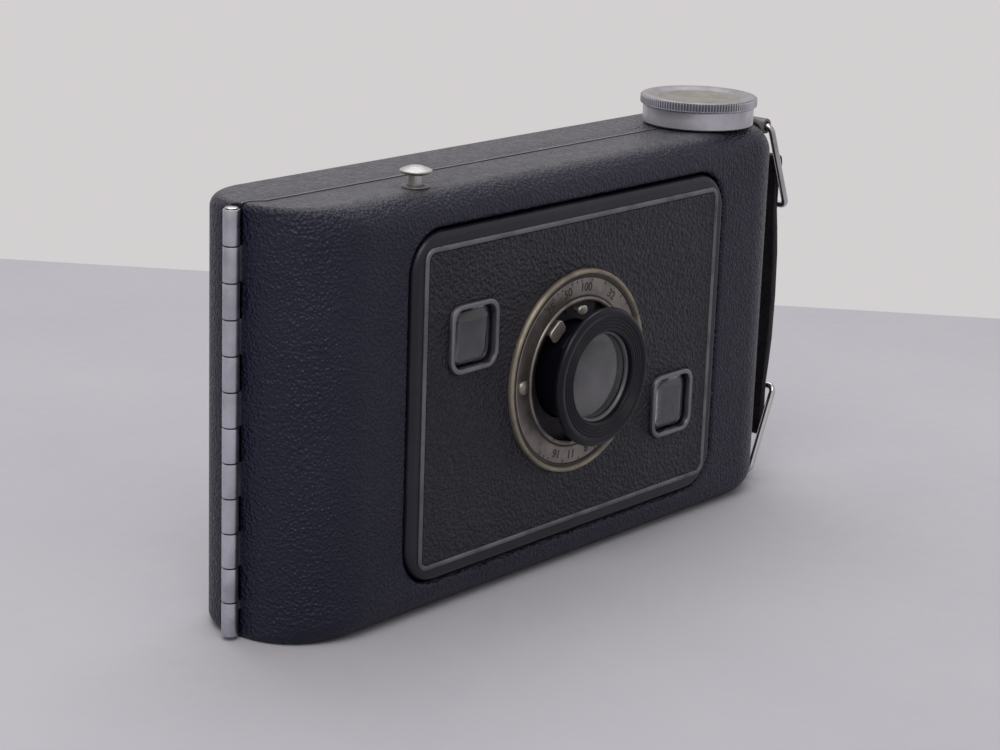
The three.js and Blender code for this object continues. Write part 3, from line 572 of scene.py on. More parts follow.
# Dark metal for the ring set into the knurl valleys: painted shade between the teeth.
KNURL_VALLEY_SHADE = metal("knurl_valley_shade", (0.075, 0.075, 0.1), (0.14, 0.14, 0.17), (0.55, 0.7), 0.5)
STEEL = metal("steel", (0.42, 0.42, 0.43), (0.27, 0.26, 0.26), (0.26, 0.44))
BLACK_STEEL = metal("black_steel", (0.014, 0.011, 0.02), (0.028, 0.023, 0.034), (0.5, 0.7), 0.2)
BEZEL = metal("bezel_black", (0.003, 0.0028, 0.0065), (0.007, 0.0065, 0.0115), (0.26, 0.42), 0.0, grit=0.014,
              specular=0.24)
# The front lens's large haze patches are partly haze and partly a painted reflection gradient.
LENS_GLASS = clear("lens_glass", (0.1, 0.1, 0.115), (0.34, 0.335, 0.35), (0.05, 0.2), 0.7, 0.3, cloud=55)
FINDER_GLASS = clear("finder_glass", (0.42, 0.43, 0.48), (0.6, 0.6, 0.66), (0.0, 0.05), 0.985, 0.15,
                     cloud=120)
RED_GLASS = clear("red_glass", (0.32, 0.012, 0.01), (0.4, 0.03, 0.02), (0.08, 0.2), 0.45, 0.4)
MIRROR = metal("mirror", (0.75, 0.76, 0.78), (0.6, 0.6, 0.6), (0.04, 0.14), grit=0.004)
BELLOWS_LEATHER = grained("bellows_leather", (0.012, 0.012, 0.013), (0.03, 0.028, 0.027), (0.5, 0.7), 1900,
                          0.06,
                          sheen=0.1)
STRAP_LEATHER = grained("strap_leather", (0.0055, 0.0045, 0.0065), (0.016, 0.012, 0.012), (0.4, 0.62), 1100,
                        0.1,
                        specular=0.35)
LUG_METAL = metal("lug_metal", (0.2, 0.19, 0.19), (0.1, 0.095, 0.095), (0.42, 0.6), 0.7)

SLOT_MATERIALS = {
    "leatherette": LEATHERETTE, "black_enamel": ENAMEL, "border_paint": BORDER_PAINT, "nickel": NICKEL,
    "bright_nickel": BRIGHT_NICKEL, "lever_nickel": LEVER_NICKEL, "finder_frame": FINDER_METAL,
    "old_brass": BRASS, "satin_aluminium": ALUMINIUM, "steel": STEEL, "black_steel": BLACK_STEEL,
    "bezel_black": BEZEL, "lens_glass": LENS_GLASS, "red_glass": RED_GLASS, "mirror": MIRROR,
    "bellows_leather": BELLOWS_LEATHER, "strap_leather": STRAP_LEATHER,
}


def finish_piece(piece, material, body, slot, *nodes):
    """Gives a piece its material, the body it moves with and the CAD nodes it stands for."""
    piece.data.materials.clear()
    piece.data.materials.append(material)
    if body:
        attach(piece, body)
    if nodes:
        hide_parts(*nodes)
    return piece


# ------------ body shells


def roll_inset(roll, depth):
    """How far a rolled edge stands back from its side at a depth below the top."""
    return 0 if depth >= roll else roll - math.sqrt(roll ** 2 - (roll - depth) ** 2)


def body_plan(left, rolls, inset, depth):
    """The body in plan at a depth below its top, drawn inset from its outside."""
    back = {side: inset + roll_inset(max(roll - inset, 0.01), depth) for side, roll in rolls.items()}
    x0 = left + back["left"]
    x1 = BODY_RIGHT - back["right"]
    y0 = BODY_FRONT + back["front"]
    y1 = BODY_BACK - back["back"]
    near_right = FRONT_RIGHT_RADIUS - back["front"]
    near_left = FRONT_LEFT_RADIUS - back["front"]
    far_right = BACK_RADIUS - max(back["right"], back["back"])
    far_left = BACK_RADIUS - max(back["left"], back["back"])
    return (
        arc(x1 - near_right, y0 + near_right, near_right, -90, 0, 22)
        + arc(x1 - far_right, y1 - far_right, far_right, 0, 90, 18)
        + arc(x0 + far_left, y1 - far_left, far_left, 90, 180, 18)
        + arc(x0 + near_left, y0 + near_left, near_left, 180, 270, 22)
    )


def rounded_body(name, left, rolls, inset):
    """The whole body as a solid with rolled long edges, drawn inset from its outside."""
    roll = EDGE_RADIUS - inset
    depths = sorted({roll * (1 - math.cos(math.radians(90 * i / 14))) for i in range(15)} | {0.5, 0.85, 1.15})
    lower = [at_z(body_plan(left, rolls, inset, depth), inset + depth) for depth in depths]
    upper = [[(x, y, BODY_HEIGHT - z) for x, y, z in ring] for ring in reversed(lower)]
    return loft(name, lower + upper)


def parting_plan(shift):
    """Everything in front of the parting line, which steps back at the hinge and under the knob."""
    step_right = arc(66, PARTING_RIGHT + shift - 2.6, 2.6, 90, 146, 8)
    step_left = arc(-70.8, PARTING + shift + 1.4, 1.4, -90, -140, 6)
    plan = [(FAR, -FAR), (FAR, PARTING_RIGHT + shift)] + step_right + [(61.6, PARTING + shift)]
    plan += step_left + [(-73.6, PARTING_LEFT + shift), (-FAR, PARTING_LEFT + shift), (-FAR, -FAR)]
    return plan


def front_of_parting(shift):
    return plate_z("parting", parting_plan(shift), -FAR, FAR)


def post_z(x, y, radius, z0, z1):
    return plate_z("post", circle(x, y, radius), z0, z1)


def top_hole(place, radius):
    """The tool for a round hole through the top wall."""
    return post_z(*place, radius, BODY_HEIGHT - 3, BODY_HEIGHT + 1)


def post_y(x, z, radius, y0, y1):
    return plate_y("post", circle(x, z, radius), y0, y1)


def panel_opening():
    """The tool that cuts the panel's opening, with a flared mouth that rolls the covering into it."""
    rings = []
    for depth in (-1, 0, 0.05, 0.15, 0.3, 0.5, 0.75, 1, WALL + 2):
        flare = OPENING_GAP + (LIP_ROLL if depth < 0 else roll_inset(LIP_ROLL, depth))
        outline = rounded(0, AXIS_HEIGHT, PANEL_WIDTH + 2 * flare, PANEL_HEIGHT + 2 * flare,
                          PANEL_CORNER + flare, 16)
        rings.append(at_y(outline, BODY_FRONT + depth))
    return loft("opening", rings)


def hinge_clearance():
    """The tools that free the hinge's barrel and its leaf from the cover's end wall."""
    beside_leaf = block("leaf_room", COVER_LEFT - 1, COVER_LEFT + WALL + LEAF_ROOM, PARTING_LEFT,
                        LEAF_Y + 0.1,
                        EDGE_RADIUS - LEAF_ROOM, BODY_HEIGHT - EDGE_RADIUS + LEAF_ROOM)
    return post_z(HINGE_X, HINGE_Y, HINGE_RADIUS + 0.4, -1, BODY_HEIGHT + 1), beside_leaf


front = keep_inside(rounded_body("front_covering", SHELL_LEFT, SHELL_ROLLS, 0), front_of_parting(0))
cut(
    front,
    rounded_body("hollow", SHELL_LEFT, SHELL_ROLLS, WALL),
    panel_opening(),
    post_z(HINGE_X, HINGE_Y, HINGE_RADIUS + 0.3, -1, BODY_HEIGHT + 1),
    top_hole(BUTTON_AXIS, BUTTON_HOLE),
    top_hole(KNOB_AXIS, KNOB_HOLE),
    post_z(*TRIPOD, TRIPOD_HOLE, -1, 3),
)
soften(front, 0.22)
finish_piece(front, LEATHERETTE, "camera_body", "leatherette", "front_shell")

back = cut(
    rounded_body("back_covering", COVER_LEFT, COVER_ROLLS, 0),
    front_of_parting(PARTING_GAP),
    rounded_body("hollow", COVER_LEFT, COVER_ROLLS, WALL),
    *hinge_clearance(),
    top_hole(KNOB_AXIS, KNOB_HOLE_COVER),
    post_y(*WINDOW, WINDOW_HOLE, BODY_BACK - 3, BODY_BACK + 1),
    block("slot", *LATCH_SLOT),
)
soften(back, 0.22)
finish_piece(back, LEATHERETTE, "back_cover", "leatherette", "back_shell")


def parting_lip():
    """The cover's bare metal edge, a narrow band that stands just proud along the parting line."""
    outside = rounded_body("cover_lip", COVER_LEFT, COVER_ROLLS, -LIP_PROUD)
    cut(outside, rounded_body("hollow", COVER_LEFT, COVER_ROLLS, WALL * 0.6),
        front_of_parting(PARTING_GAP - 0.03))
    keep_inside(outside, front_of_parting(PARTING_GAP + LIP_WIDTH))
    cut(outside, *hinge_clearance(), top_hole(KNOB_AXIS, KNOB_HOLE_COVER))
    return outside


finish_piece(parting_lip(), FINDER_METAL, "back_cover", "nickel", "back_shell")

# ------------ hinge

PITCH = (HINGE_HIGH - HINGE_LOW) / KNUCKLES


def knuckle(low, high):
    """One rolled barrel of the hinge with broken ends."""
    r = HINGE_RADIUS
    return lathe("knuckle", [
        (HINGE_BORE, low), (r - 0.16, low), (r - 0.04, low + 0.05), (r, low + 0.18), (r, high - 0.18),
        (r - 0.04, high - 0.05), (r - 0.16, high), (HINGE_BORE, high),
    ], HINGE_AXIS, "Z", 40)


def hinge_leaf(name, first, web, *strips):
    parts = list(strips)
    for i in range(first, KNUCKLES, 2):
        high = HINGE_HIGH - i * PITCH - KNUCKLE_GAP / 2
        low = HINGE_HIGH - (i + 1) * PITCH + KNUCKLE_GAP / 2
        parts.append(knuckle(low, high))
        parts.append(web(max(low, EDGE_RADIUS), min(high, BODY_HEIGHT - EDGE_RADIUS)))
    leaf = gather(*parts)
    leaf.name = name
    return leaf


leaf_inner = SHELL_LEFT + WALL + 0.25
cover_leaf = COVER_LEFT + WALL + 0.35
leaf = hinge_leaf(
    "hinge_leaf_body",
    1,
    lambda low, high: block("web", HINGE_X + 0.9, leaf_inner + LEAF_THICKNESS, PARTING_LEFT + 0.02,
                            PARTING_LEFT + 0.5, low, high),
    block("strip", leaf_inner, leaf_inner + LEAF_THICKNESS, LEAF_FRONT, PARTING_LEFT + 0.5, EDGE_RADIUS,
          BODY_HEIGHT - EDGE_RADIUS),
)
finish_piece(leaf, NICKEL, "camera_body", "nickel", "body_hinge_leaf")

leaf = hinge_leaf(
    "hinge_leaf_cover",
    0,
    lambda low, high: block("web", HINGE_X, cover_leaf + LEAF_THICKNESS, HINGE_Y + 1, LEAF_Y, low, high),
    block("strip", cover_leaf, cover_leaf + LEAF_THICKNESS, HINGE_Y + 1, LEAF_REAR, EDGE_RADIUS + 1,
          BODY_HEIGHT - EDGE_RADIUS - 1),
)
finish_piece(leaf, NICKEL, "back_cover", "nickel", "cover_hinge_leaf")

pin = lathe("hinge_pin_domed", [
    (0, HINGE_LOW - 0.35), (0.45, HINGE_LOW - 0.28), (0.7, HINGE_LOW), (0.7, HINGE_HIGH + 0.02),
    (1.22, HINGE_HIGH + 0.03), (1.28, HINGE_HIGH + 0.12), (1.1, HINGE_HIGH + 0.26), (0.6, HINGE_HIGH + 0.34),
    (0, HINGE_HIGH + 0.36),
], HINGE_AXIS, "Z", 32)
finish_piece(pin, BRIGHT_NICKEL, "camera_body", "steel", "hinge_pin")

# ------------ front panel


def panel_ring(inset, y):
    return at_y(rounded(0, AXIS_HEIGHT, PANEL_WIDTH - 2 * inset, PANEL_HEIGHT - 2 * inset,
                        PANEL_CORNER - inset, 16), y)


def pressed_panel():
    """A pressed plate with a rolled rim and a skirt that goes back into the body."""
    rings = []
    for i in range(9):
        turn = math.radians(90 * i / 8)
        rings.append(panel_ring(PANEL_ROLL * (1 - math.sin(turn)),
                                PANEL_FACE + PANEL_ROLL * (1 - math.cos(turn))))
    rings += [panel_ring(0, PANEL_SKIRT), panel_ring(PANEL_WALL, PANEL_SKIRT),
              panel_ring(PANEL_WALL, PANEL_REAR)]
    return loft("panel_pressing", rings)


def finder_square(centre, side, corner):
    return rounded(centre[0], centre[1], side, side, corner)


panel = cut(
    pressed_panel(),
    post_y(0, AXIS_HEIGHT, PANEL_BORE, *PANEL_CUT),
    *[plate_y("window", finder_square(centre, FINDER_OPENING, 2.4),
              *PANEL_CUT) for centre in FINDERS.values()],
)
ears = []
for sign in (1, -1):
    low, high = band(sign, *RAIL_BAND)
    ears.append(block("ear", *EAR_X, PANEL_REAR - 0.3, BAR_Y + 1.5, low, high))
    ears.append(block("rail", *RAIL_X, PANEL_REAR - 0.3, RAIL_REAR, low, high))
gather(panel, *ears)
finish_piece(panel, ENAMEL, "front_panel", "black_enamel", "front_panel")

half_line = BORDER_LINE / 2
border_path = at_y(rounded(0, AXIS_HEIGHT, BORDER_WIDTH, BORDER_HEIGHT, BORDER_CORNER, 8), 0)
rise = [(half_line * math.cos(math.radians(a)), 0.3 * math.sin(math.radians(a))) for a in range(0, 181, 20)]
border_section = [(-half_line, COVERING_SEAT)] + [(-a, BORDER_FACE + 0.3 - b) for a, b in rise]
border_section += [(half_line, COVERING_SEAT)]
border = swept("panel_border_line", border_path, border_section, (0, 1, 0))
finish_piece(border, BORDER_PAINT, "front_panel", "border_paint", "panel_border")

covering = plate_y("panel_inset", rounded(0, AXIS_HEIGHT, BORDER_WIDTH - BORDER_LINE - 0.2,
                   BORDER_HEIGHT - BORDER_LINE - 0.2, BORDER_CORNER - half_line, 8), COVERING_FACE,
                   COVERING_SEAT)
cut(
    covering,
    post_y(0, AXIS_HEIGHT, RING_OUTER + 0.15, *COVERING_CUT),
    *[plate_y("window", finder_square(centre, FINDER_OUTER + 0.3, FINDER_CORNER), *COVERING_CUT)
      for centre in FINDERS.values()],
)
finish_piece(covering, COVERING, "front_panel", "leatherette", "panel_covering")

# ------------ ring, levers and lens

LENS = (0, AXIS_HEIGHT)


def sector(r0, r1, start, end, steps=40):
    outside = arc(0, AXIS_HEIGHT, r1, start, end, steps)
    inside = arc(0, AXIS_HEIGHT, r0, end, start, steps)
    return outside + inside


outer_bead = smooth_profile([
    (RING_OUTER, RING_SEAT), (RING_OUTER, -11.55), (20.9, -11.98), (20.55, -12.1), (20.2, -11.95),
    (19.95, -11.5),
    (19.3, -11.3),
], 0.25, 4)
ring_rim = lathe("ring_rim", outer_bead + [(19.3, RING_SEAT)], LENS, segments=180)
finish_piece(ring_rim, BRASS, "front_panel", "old_brass", "escutcheon")

plate_profile = smooth_profile([
    (19.3, RING_SEAT), (19.3, RING_PLATE + 0.1), (19.1, RING_PLATE), (15.75, RING_PLATE), (15.6, -11.4),
    (15.5, -11.4), (15.35, -11.85), (14.95, -12), (RING_INNER, -11.8), (RING_INNER, RING_SEAT),
], 0.12, 3)
ring_plate = lathe("ring_plate", plate_profile, LENS, segments=180)
cut(ring_plate, plate_y("notch", sector(13.5, 15.2, 219, 242), -13, -11.6))
finish_piece(ring_plate, PLATE, "front_panel", "old_brass", "escutcheon")

for inner, outer, depth in ((19.35, 19.98, -11.64), (15.42, 15.8, -11.64)):
    groove = lathe("ring_groove", smooth_profile([
        (inner, RING_SEAT), (outer, RING_SEAT), (outer, depth + 0.03), (outer - 0.06, depth),
        (inner + 0.06, depth),
        (inner, depth + 0.03),
    ], 0.02, 2), LENS, segments=180)
    groove.name = "ring_groove_%d" % round(inner)
    finish_piece(groove, ENGRAVING, "front_panel", "old_brass", "escutcheon")


def on_ring(clock, radius, y):
    """A place on the ring: clock degrees from twelve, positive clockwise as seen from the front."""
    turn = math.radians(clock)
    spot = Vector((math.sin(turn) * radius, y, AXIS_HEIGHT + math.cos(turn) * radius)) * MM
    return Matrix.Translation(spot) @ Matrix.Rotation(turn, 4, "Y") @ Matrix.Rotation(math.radians(90), 4,
                                                                                      "X")


def numeral(text, clock, radius, size):
    """A figure filled with dark paint that stands on the ring's plate."""
    curve = bpy.data.curves.new("figure", "FONT")
    curve.body = text
    curve.size = size * MM
    curve.align_x = "CENTER"
    curve.align_y = "CENTER"
    curve.extrude = 0.02 * MM
    curve.offset = 0.035 * MM
    curve.resolution_u = 4
    temporary = bpy.data.objects.new("figure", curve)
    bpy.context.scene.collection.objects.link(temporary)
    bpy.context.view_layer.update()
    graph = bpy.context.evaluated_depsgraph_get()
    mesh = bpy.data.meshes.new_from_object(temporary.evaluated_get(graph))
    bpy.data.objects.remove(temporary)
    made = bpy.data.objects.new("figure_" + text, mesh)
    bpy.context.scene.collection.objects.link(made)
    return moved(made, on_ring(clock, radius, RING_PLATE - 0.01))


def tick(clock, r0, r1, half_width):
    made = block("tick", -half_width, half_width, r0 - (r0 + r1) / 2, r1 - (r0 + r1) / 2, -0.02, 0.02)
    return moved(made, on_ring(clock, (r0 + r1) / 2, RING_PLATE - 0.01))


FIGURES = (("25", -33), ("50", -14), ("100", 5), ("8", -192), ("11", -176), ("16", -160), ("32", 34))
TICKS = (-38, -28.5, -23.5, -19, -9.5, -4.5, 0, 10, -200, -184, -168, -153, -148, -143, 24, 44)
FIGURE_RADIUS = 17.3
FIGURE_SIZE = 2.5
TICK_RADII = (18.5, 19.05)

marks = []
for text, clock in FIGURES:
    marks.append(numeral(text, clock, FIGURE_RADIUS, FIGURE_SIZE))
for clock in TICKS:
    marks.append(tick(clock, *TICK_RADII, 0.12))
for clock in range(52, 152, 10):
    marks.append(tick(clock, *TICK_RADII, 0.07))
engraving = gather(*marks)
engraving.name = "ring_figures"
finish_piece(engraving, ENGRAVING, "front_panel", "old_brass", "escutcheon")

rivet = lathe("ring_rivet", [
    (0, RING_PLATE), (1.5, RING_PLATE), (1.5, -11.68), (1.42, -11.9), (1.2, -12.15), (0.85, -12.38),
    (0.45, -12.5),
    (0, -12.55),
], (-17.2, AXIS_HEIGHT - 0.3), segments=48)
finish_piece(rivet, PLATE, "front_panel", "nickel", "escutcheon_rivet")


def ring_lever(name, start, end, clock, half_width, inner, outer, face):
    """A lever under the ring: a blackened plate between two clock angles with a bare, raised finger tab."""
    plate = soften(plate_y(name + "_plate", sector(12.6, 16.4, 90 - end, 90 - start), -10.5, -10), 0.08)
    finish_piece(plate, BLACK_STEEL, name, "black_steel", name)
    tab_outline = rounded(0, (inner + outer) / 2, half_width * 2, outer - inner, 0.9, 6)
    tab = soften(plate_y(name + "_tab", tab_outline, face, face + 0.7), 0.22, 3)
    post = block("post", -half_width * 0.85, half_width * 0.85, face + 0.4, -10.2, outer - 0.85, outer - 0.25)
    gather(tab, post)
    moved(tab, Matrix.Translation((0, 0, AXIS_HEIGHT * MM)) @ Matrix.Rotation(math.radians(clock), 4, "Y"))
    finish_piece(tab, LEVER_NICKEL, name, "lever_nickel", name)


ring_lever("shutter_lever", -115, -24, -38, 2.2, 10.7, 13.7, -12.2)
ring_lever("time_lever", -15, 25, 0.8, 1.35, 11.9, 13.7, -12.2)

bezel_land = BEZEL_FRONT + 0.18
bezel_face = [(BEZEL_INNER, LENS_SEAT), (BEZEL_INNER, BEZEL_FRONT + 0.5), (9.75, bezel_land)]
for start in BEZEL_GROOVES:
    bezel_face += [(start, bezel_land), (start + 0.1, bezel_land + 0.16)]
    bezel_face += [(start + 0.3, bezel_land + 0.16), (start + 0.4, bezel_land - 0.03)]
bezel_face += [
    (BEZEL_RADIUS - 1.2, BEZEL_FRONT), (BEZEL_RADIUS - 0.8, BEZEL_FRONT),
    (BEZEL_RADIUS - 0.15, BEZEL_FRONT + 0.4),
    (BEZEL_RADIUS, BEZEL_FRONT + 0.8), (BEZEL_RADIUS, BEZEL_REAR - 0.4), (BEZEL_RADIUS - 0.4, BEZEL_REAR),
    (BEZEL_NECK, BEZEL_REAR), (BEZEL_NECK, BARREL_FRONT), (BARREL_RADIUS, BARREL_FRONT),
    (BARREL_RADIUS, BARREL_TAIL), (BARREL_BORE, BARREL_TAIL), (BARREL_BORE, LENS_SEAT),
]
bezel = lathe("bezel_ring", smooth_profile(bezel_face, 0.07, 2), LENS, segments=180)
finish_piece(bezel, BEZEL, "lens_bezel", "bezel_black", "lens_bezel", "lens_barrel")

retainer = lathe("glass_retainer", [
    (8.75, LENS_CROWN + 0.6), (8.82, LENS_CROWN + 0.15), (8.95, LENS_CROWN), (9.2, LENS_CROWN - 0.05),
    (9.38, LENS_CROWN + 0.05), (9.38, LENS_CROWN + 0.6),
], LENS, segments=180)
finish_piece(retainer, BORDER_PAINT, "lens_bezel", "bezel_black", "lens_bezel")

dome = [(0, LENS_SEAT - 0.05), (LENS_RADIUS, LENS_SEAT - 0.05), (LENS_RADIUS, LENS_EDGE)]
for i in range(1, 12):
    r = LENS_RADIUS * (1 - i / 12)
    dome.append((r, LENS_EDGE + (LENS_CROWN - LENS_EDGE) * (1 - (r / LENS_RADIUS) ** 2)))
dome.append((0, LENS_CROWN))
glass = lathe("lens_front_glass", dome, LENS, segments=128)
finish_piece(glass, LENS_GLASS, "lens_bezel", "lens_glass", "front_lens")

# ------------ finders

for side, centre in FINDERS.items():
    rings = []
    for half, corner, y in (
        (6.9, 3, COVERING_SEAT), (6.9, 3, FINDER_FACE + 0.4), (6.82, 2.95, FINDER_FACE + 0.15),
        (6.62, 2.8, FINDER_FACE), (6.1, 2.35, FINDER_FACE), (5.92, 2.2, FINDER_FACE + 0.12),
        (5.85, 2.15, FINDER_FACE + 0.35), (5.85, 2.15, COVERING_SEAT),
    ):
        rings.append(at_y(finder_square(centre, 2 * half, corner), y))
    surround = loft("finder_surround_" + side, rings, closed=True)
    finish_piece(surround, FINDER_METAL, "front_panel", "finder_frame", "finder_frame_" + side)
    rings = []
    for half, y in ((5.6, -9.2), (5.65, -10.1), (5.5, -10.45), (5.1, -10.8), (4.4, -11.1), (3.4, -11.33),
                    (2.2, -11.47),
                    (1, -11.52)):
        rings.append(at_y(finder_square(centre, 2 * half, min(2.2, half * 0.42)), y))
    window = loft("finder_window_" + side, rings)
    finish_piece(window, FINDER_GLASS, "front_panel", "lens_glass", "finder_glass_" + side)

# ------------ winding knob and release button


def knurl(radius, height, angle):
    """The fine teeth around the knob's rim."""
    if radius < KNOB_RIM - 0.2 or not KNOB_RIM_LOW + 0.1 < height < KNOB_TOP - 0.2:
        return 0
    return -KNURL_DEPTH * ((1 - math.cos(angle * KNURL_TEETH)) / 2) ** 0.8


def from_rim(*points):
    """Profile points given as (inwards from the knob's rim, down from its top)."""
    return [(KNOB_RIM - inward, KNOB_TOP - down) for inward, down in points]


knob_profile = [(0, 87.3), (10.6, 87.3), (11, KNOB_BASE)]
knob_profile += [(KNOB_SKIRT - 0.25, KNOB_BASE), (KNOB_SKIRT, KNOB_BASE + 0.25), (KNOB_SKIRT, 86.4),
                 (KNOB_SKIRT, 88.0),
                 (KNOB_SKIRT + 0.06, 88.22), (KNOB_RIM - 0.18, KNOB_RIM_LOW), (KNOB_RIM, KNOB_RIM_LOW + 0.12)]
knob_profile += [(KNOB_RIM, KNOB_RIM_LOW + 0.16 + 0.12 * i) for i in range(13)]
knob_profile += from_rim((0.08, 0.28), (0.7, 0.26), (1.3, 1.3)) + [(0, KNOB_TOP - 1.3)]
knob_outside = lathe("knob_turned", knob_profile, KNOB_AXIS, "Z", KNURL_TEETH * 6, knurl)
stem = lathe("stem", [(0, 77), (1.7, 77), (1.8, 77.2), (1.8, 88), (0, 88)], KNOB_AXIS, "Z", 48)
key = block("key", KNOB_X - 2, KNOB_X + 2, KNOB_Y - 0.5, KNOB_Y + 0.5, 71.6, 78)
gather(knob_outside, stem, key)
finish_piece(knob_outside, ALUMINIUM, "winding_knob", "satin_aluminium", "winding_knob")

# A dark ring just inside the rim fills the knurl's valleys: painted shade between the teeth.
valley_shade = lathe("knob_valley_shade", [
    (KNOB_RIM - 0.9, KNOB_RIM_LOW + 0.2), (KNOB_RIM - 0.26, KNOB_RIM_LOW + 0.24),
    (KNOB_RIM - 0.24, KNOB_RIM_LOW + 0.3),
    (KNOB_RIM - 0.24, KNOB_TOP - 0.4), (KNOB_RIM - 0.26, KNOB_TOP - 0.34), (KNOB_RIM - 0.9, KNOB_TOP - 0.32),
], KNOB_AXIS, "Z", 200)
finish_piece(valley_shade, KNURL_VALLEY_SHADE, "winding_knob", "satin_aluminium", "winding_knob")

ridge = lathe("knob_ridge", from_rim(
    (0.6, 0.3), (0.3, 0.28), (0.24, 0.2), (0.36, 0.08), (0.7, 0.02), (1.15, 0), (1.6, 0.04), (2.1, 0.16),
    (2.6, 0.34), (3.1, 0.53), (3.6, 0.66), (3.6, 1.1), (1.2, 1.1),
), KNOB_AXIS, "Z", 200)
finish_piece(ridge, RIDGE, "winding_knob", "satin_aluminium", "winding_knob")

dish = lathe("knob_dish", [
    (0, KNOB_TOP - 1.2), (9.1, KNOB_TOP - 1.2), (9.15, KNOB_TOP - 0.68), (8.6, KNOB_TOP - 0.74),
    (6.5, KNOB_TOP - 0.86),
    (3, KNOB_TOP - 0.95), (0.8, KNOB_TOP - 0.98), (0, KNOB_TOP - 0.98),
], KNOB_AXIS, "Z", 160)
finish_piece(dish, TARNISH, "winding_knob", "satin_aluminium", "winding_knob")

bush = lathe("knob_bush_turned", [
    (3.4, 78.5), (4.9, 78.5), (4.9, 81.65), (6.4, 81.65), (6.4, 82.55), (4.9, 82.55), (4.9, 84.05),
    (4.8, 84.1),
    (3.4, 84.1),
], KNOB_AXIS, "Z", 96)
finish_piece(bush, STEEL, "camera_body", "steel", "knob_bush")

button = lathe("button_turned", smooth_profile([
    (0, 76), (1.4, 76), (1.4, 86.35), (2.2, 86.42), (3.02, 86.9), (3.15, 87.08), (3.08, 87.28), (2.35, 87.6),
    (1.2, 88.02), (0.4, 88.1), (0, 88.1),
], 0.12, 3), BUTTON_AXIS, "Z", 96)
foot = block("foot", BUTTON_X - 1, BUTTON_X + 1, BUTTON_Y - 1, BUTTON_Y + 0.3, 75.35, 76.5)
toe = block("toe", BUTTON_X - 1, BUTTON_X + 4.4, BUTTON_Y - 1.4, BUTTON_Y + 0.3, 75.35, 75.75)
gather(button, foot, toe)
finish_piece(button, BUTTON_NICKEL, "release_button", "bright_nickel", "release_button")

# The brass collar gets the darker lug metal: painted shade under the button's head.
guide = lathe("button_collar", [
    (1.6, 81.2), (2.3, 81.2), (2.3, 84.02), (2.72, 84.02), (2.75, 84.12), (2.65, 84.25), (2.0, 84.32),
    (1.6, 84.26),
], BUTTON_AXIS, "Z", 64)
finish_piece(guide, LUG_METAL, "camera_body", "old_brass", "button_guide")

# ------------ back window, latch and tripod bush

surround = lathe("window_surround", smooth_profile([
    (WINDOW_BORE, 19.4), (WINDOW_BODY, 19.4), (WINDOW_BODY, 22.05), (WINDOW_FLANGE, 22.05),
    (WINDOW_FLANGE, 22.35), (5.9, 22.5), (4.2, 22.5), (WINDOW_BORE, 22.2), (WINDOW_BORE, 19.4),
], 0.1, 3)[:-1], WINDOW, segments=96)
finish_piece(surround, NICKEL, "back_cover", "nickel", "window_ring")
pane = lathe("window_pane", [(0, 20), (3.4, 20), (3.4, 21.1), (3, 21.28), (1.6, 21.38), (0, 21.4)], WINDOW,
             segments=64)
finish_piece(pane, RED_GLASS, "back_cover", "red_glass", "window_glass")


def latch_piece():
    """A sliding thumb plate with gripping ridges, and the hook that it carries inside."""
    thumb = soften(block("latch_thumb", 74.55, 75.45, 10.6, 15.2, 37.5, 46.5), 0.3, 3)
    ridges = [soften(block("ridge", 75.2, 75.7, 11.2, 14.6, z - 0.35, z + 0.35), 0.2,
                     3) for z in LATCH_RIDGES]
    hook = [block("shank", 70.4, 74.6, 11.6, 14, 39.5, 44.5), block("arm", 70.4, 71.3, 5.5, 14, 39.5, 44.5),
            block("claw", 71.2, 72.4, 5.5, 6.5, 39.5, 42)]
    return gather(thumb, *ridges, *hook)


finish_piece(latch_piece(), NICKEL, "cover_latch", "nickel", "cover_latch")

tripod = [(3.1, 0.03), (4.1, 0.03), (4.3, 0.2), (4.3, 6.5), (3.1, 6.5)]
thread = [(3.1 - 0.35 * (i % 2), 6 - 0.42 * i) for i in range(14)]
tripod = lathe("tripod_thread", tripod + thread, TRIPOD, "Z", 72)
floor_disc = lathe("bush_end", [(0, 5.6), (3.2, 5.6), (3.2, 6.5), (0, 6.5)], TRIPOD, "Z", 48)
gather(tripod, floor_disc)
finish_piece(tripod, NICKEL, "camera_body", "nickel", "tripod_bush")

# ------------ struts and bellows


def bar(name, z0, z1, pivot_hole):
    """A flat bar with round ends, a softened edge and a pivot eye."""
    outline = rounded(0, BAR_Y, 2 * (BAR_HALF + BAR_HALF_WIDTH), 2 * BAR_HALF_WIDTH, BAR_HALF_WIDTH - 0.01,
                      12)
    made = plate_z(name, outline, z0, z1)
    cut(made, post_z(pivot_hole[0], BAR_Y, pivot_hole[1], z0 - 1, z1 + 1))
    return soften(made, 0.12, 2)


for side, sign in (("top", 1), ("bottom", -1)):
    z0, z1 = band(sign, *STRUT_A_BAND)
    pin_low, pin_high = band(sign, *RIVET_BAND)
    first = bar("strut_bar_a_" + side, z0, z1, (-BAR_HALF, 1.35))
    strut_rivet = lathe("rivet", [
        (0, pin_low), (1.1, pin_low), (1.2, pin_low + 0.1), (1.2, pin_high), (0, pin_high),
    ], (0, BAR_Y), "Z", 40)
    gather(first, strut_rivet)
    finish_piece(first, NICKEL, "strut_a_" + side, "nickel", "strut_a_" + side)
    z0, z1 = band(sign, *STRUT_B_BAND)
    second = bar("strut_bar_b_" + side, z0, z1, (0, 1.5))
    finish_piece(second, NICKEL, "strut_b_" + side, "nickel", "strut_b_" + side)

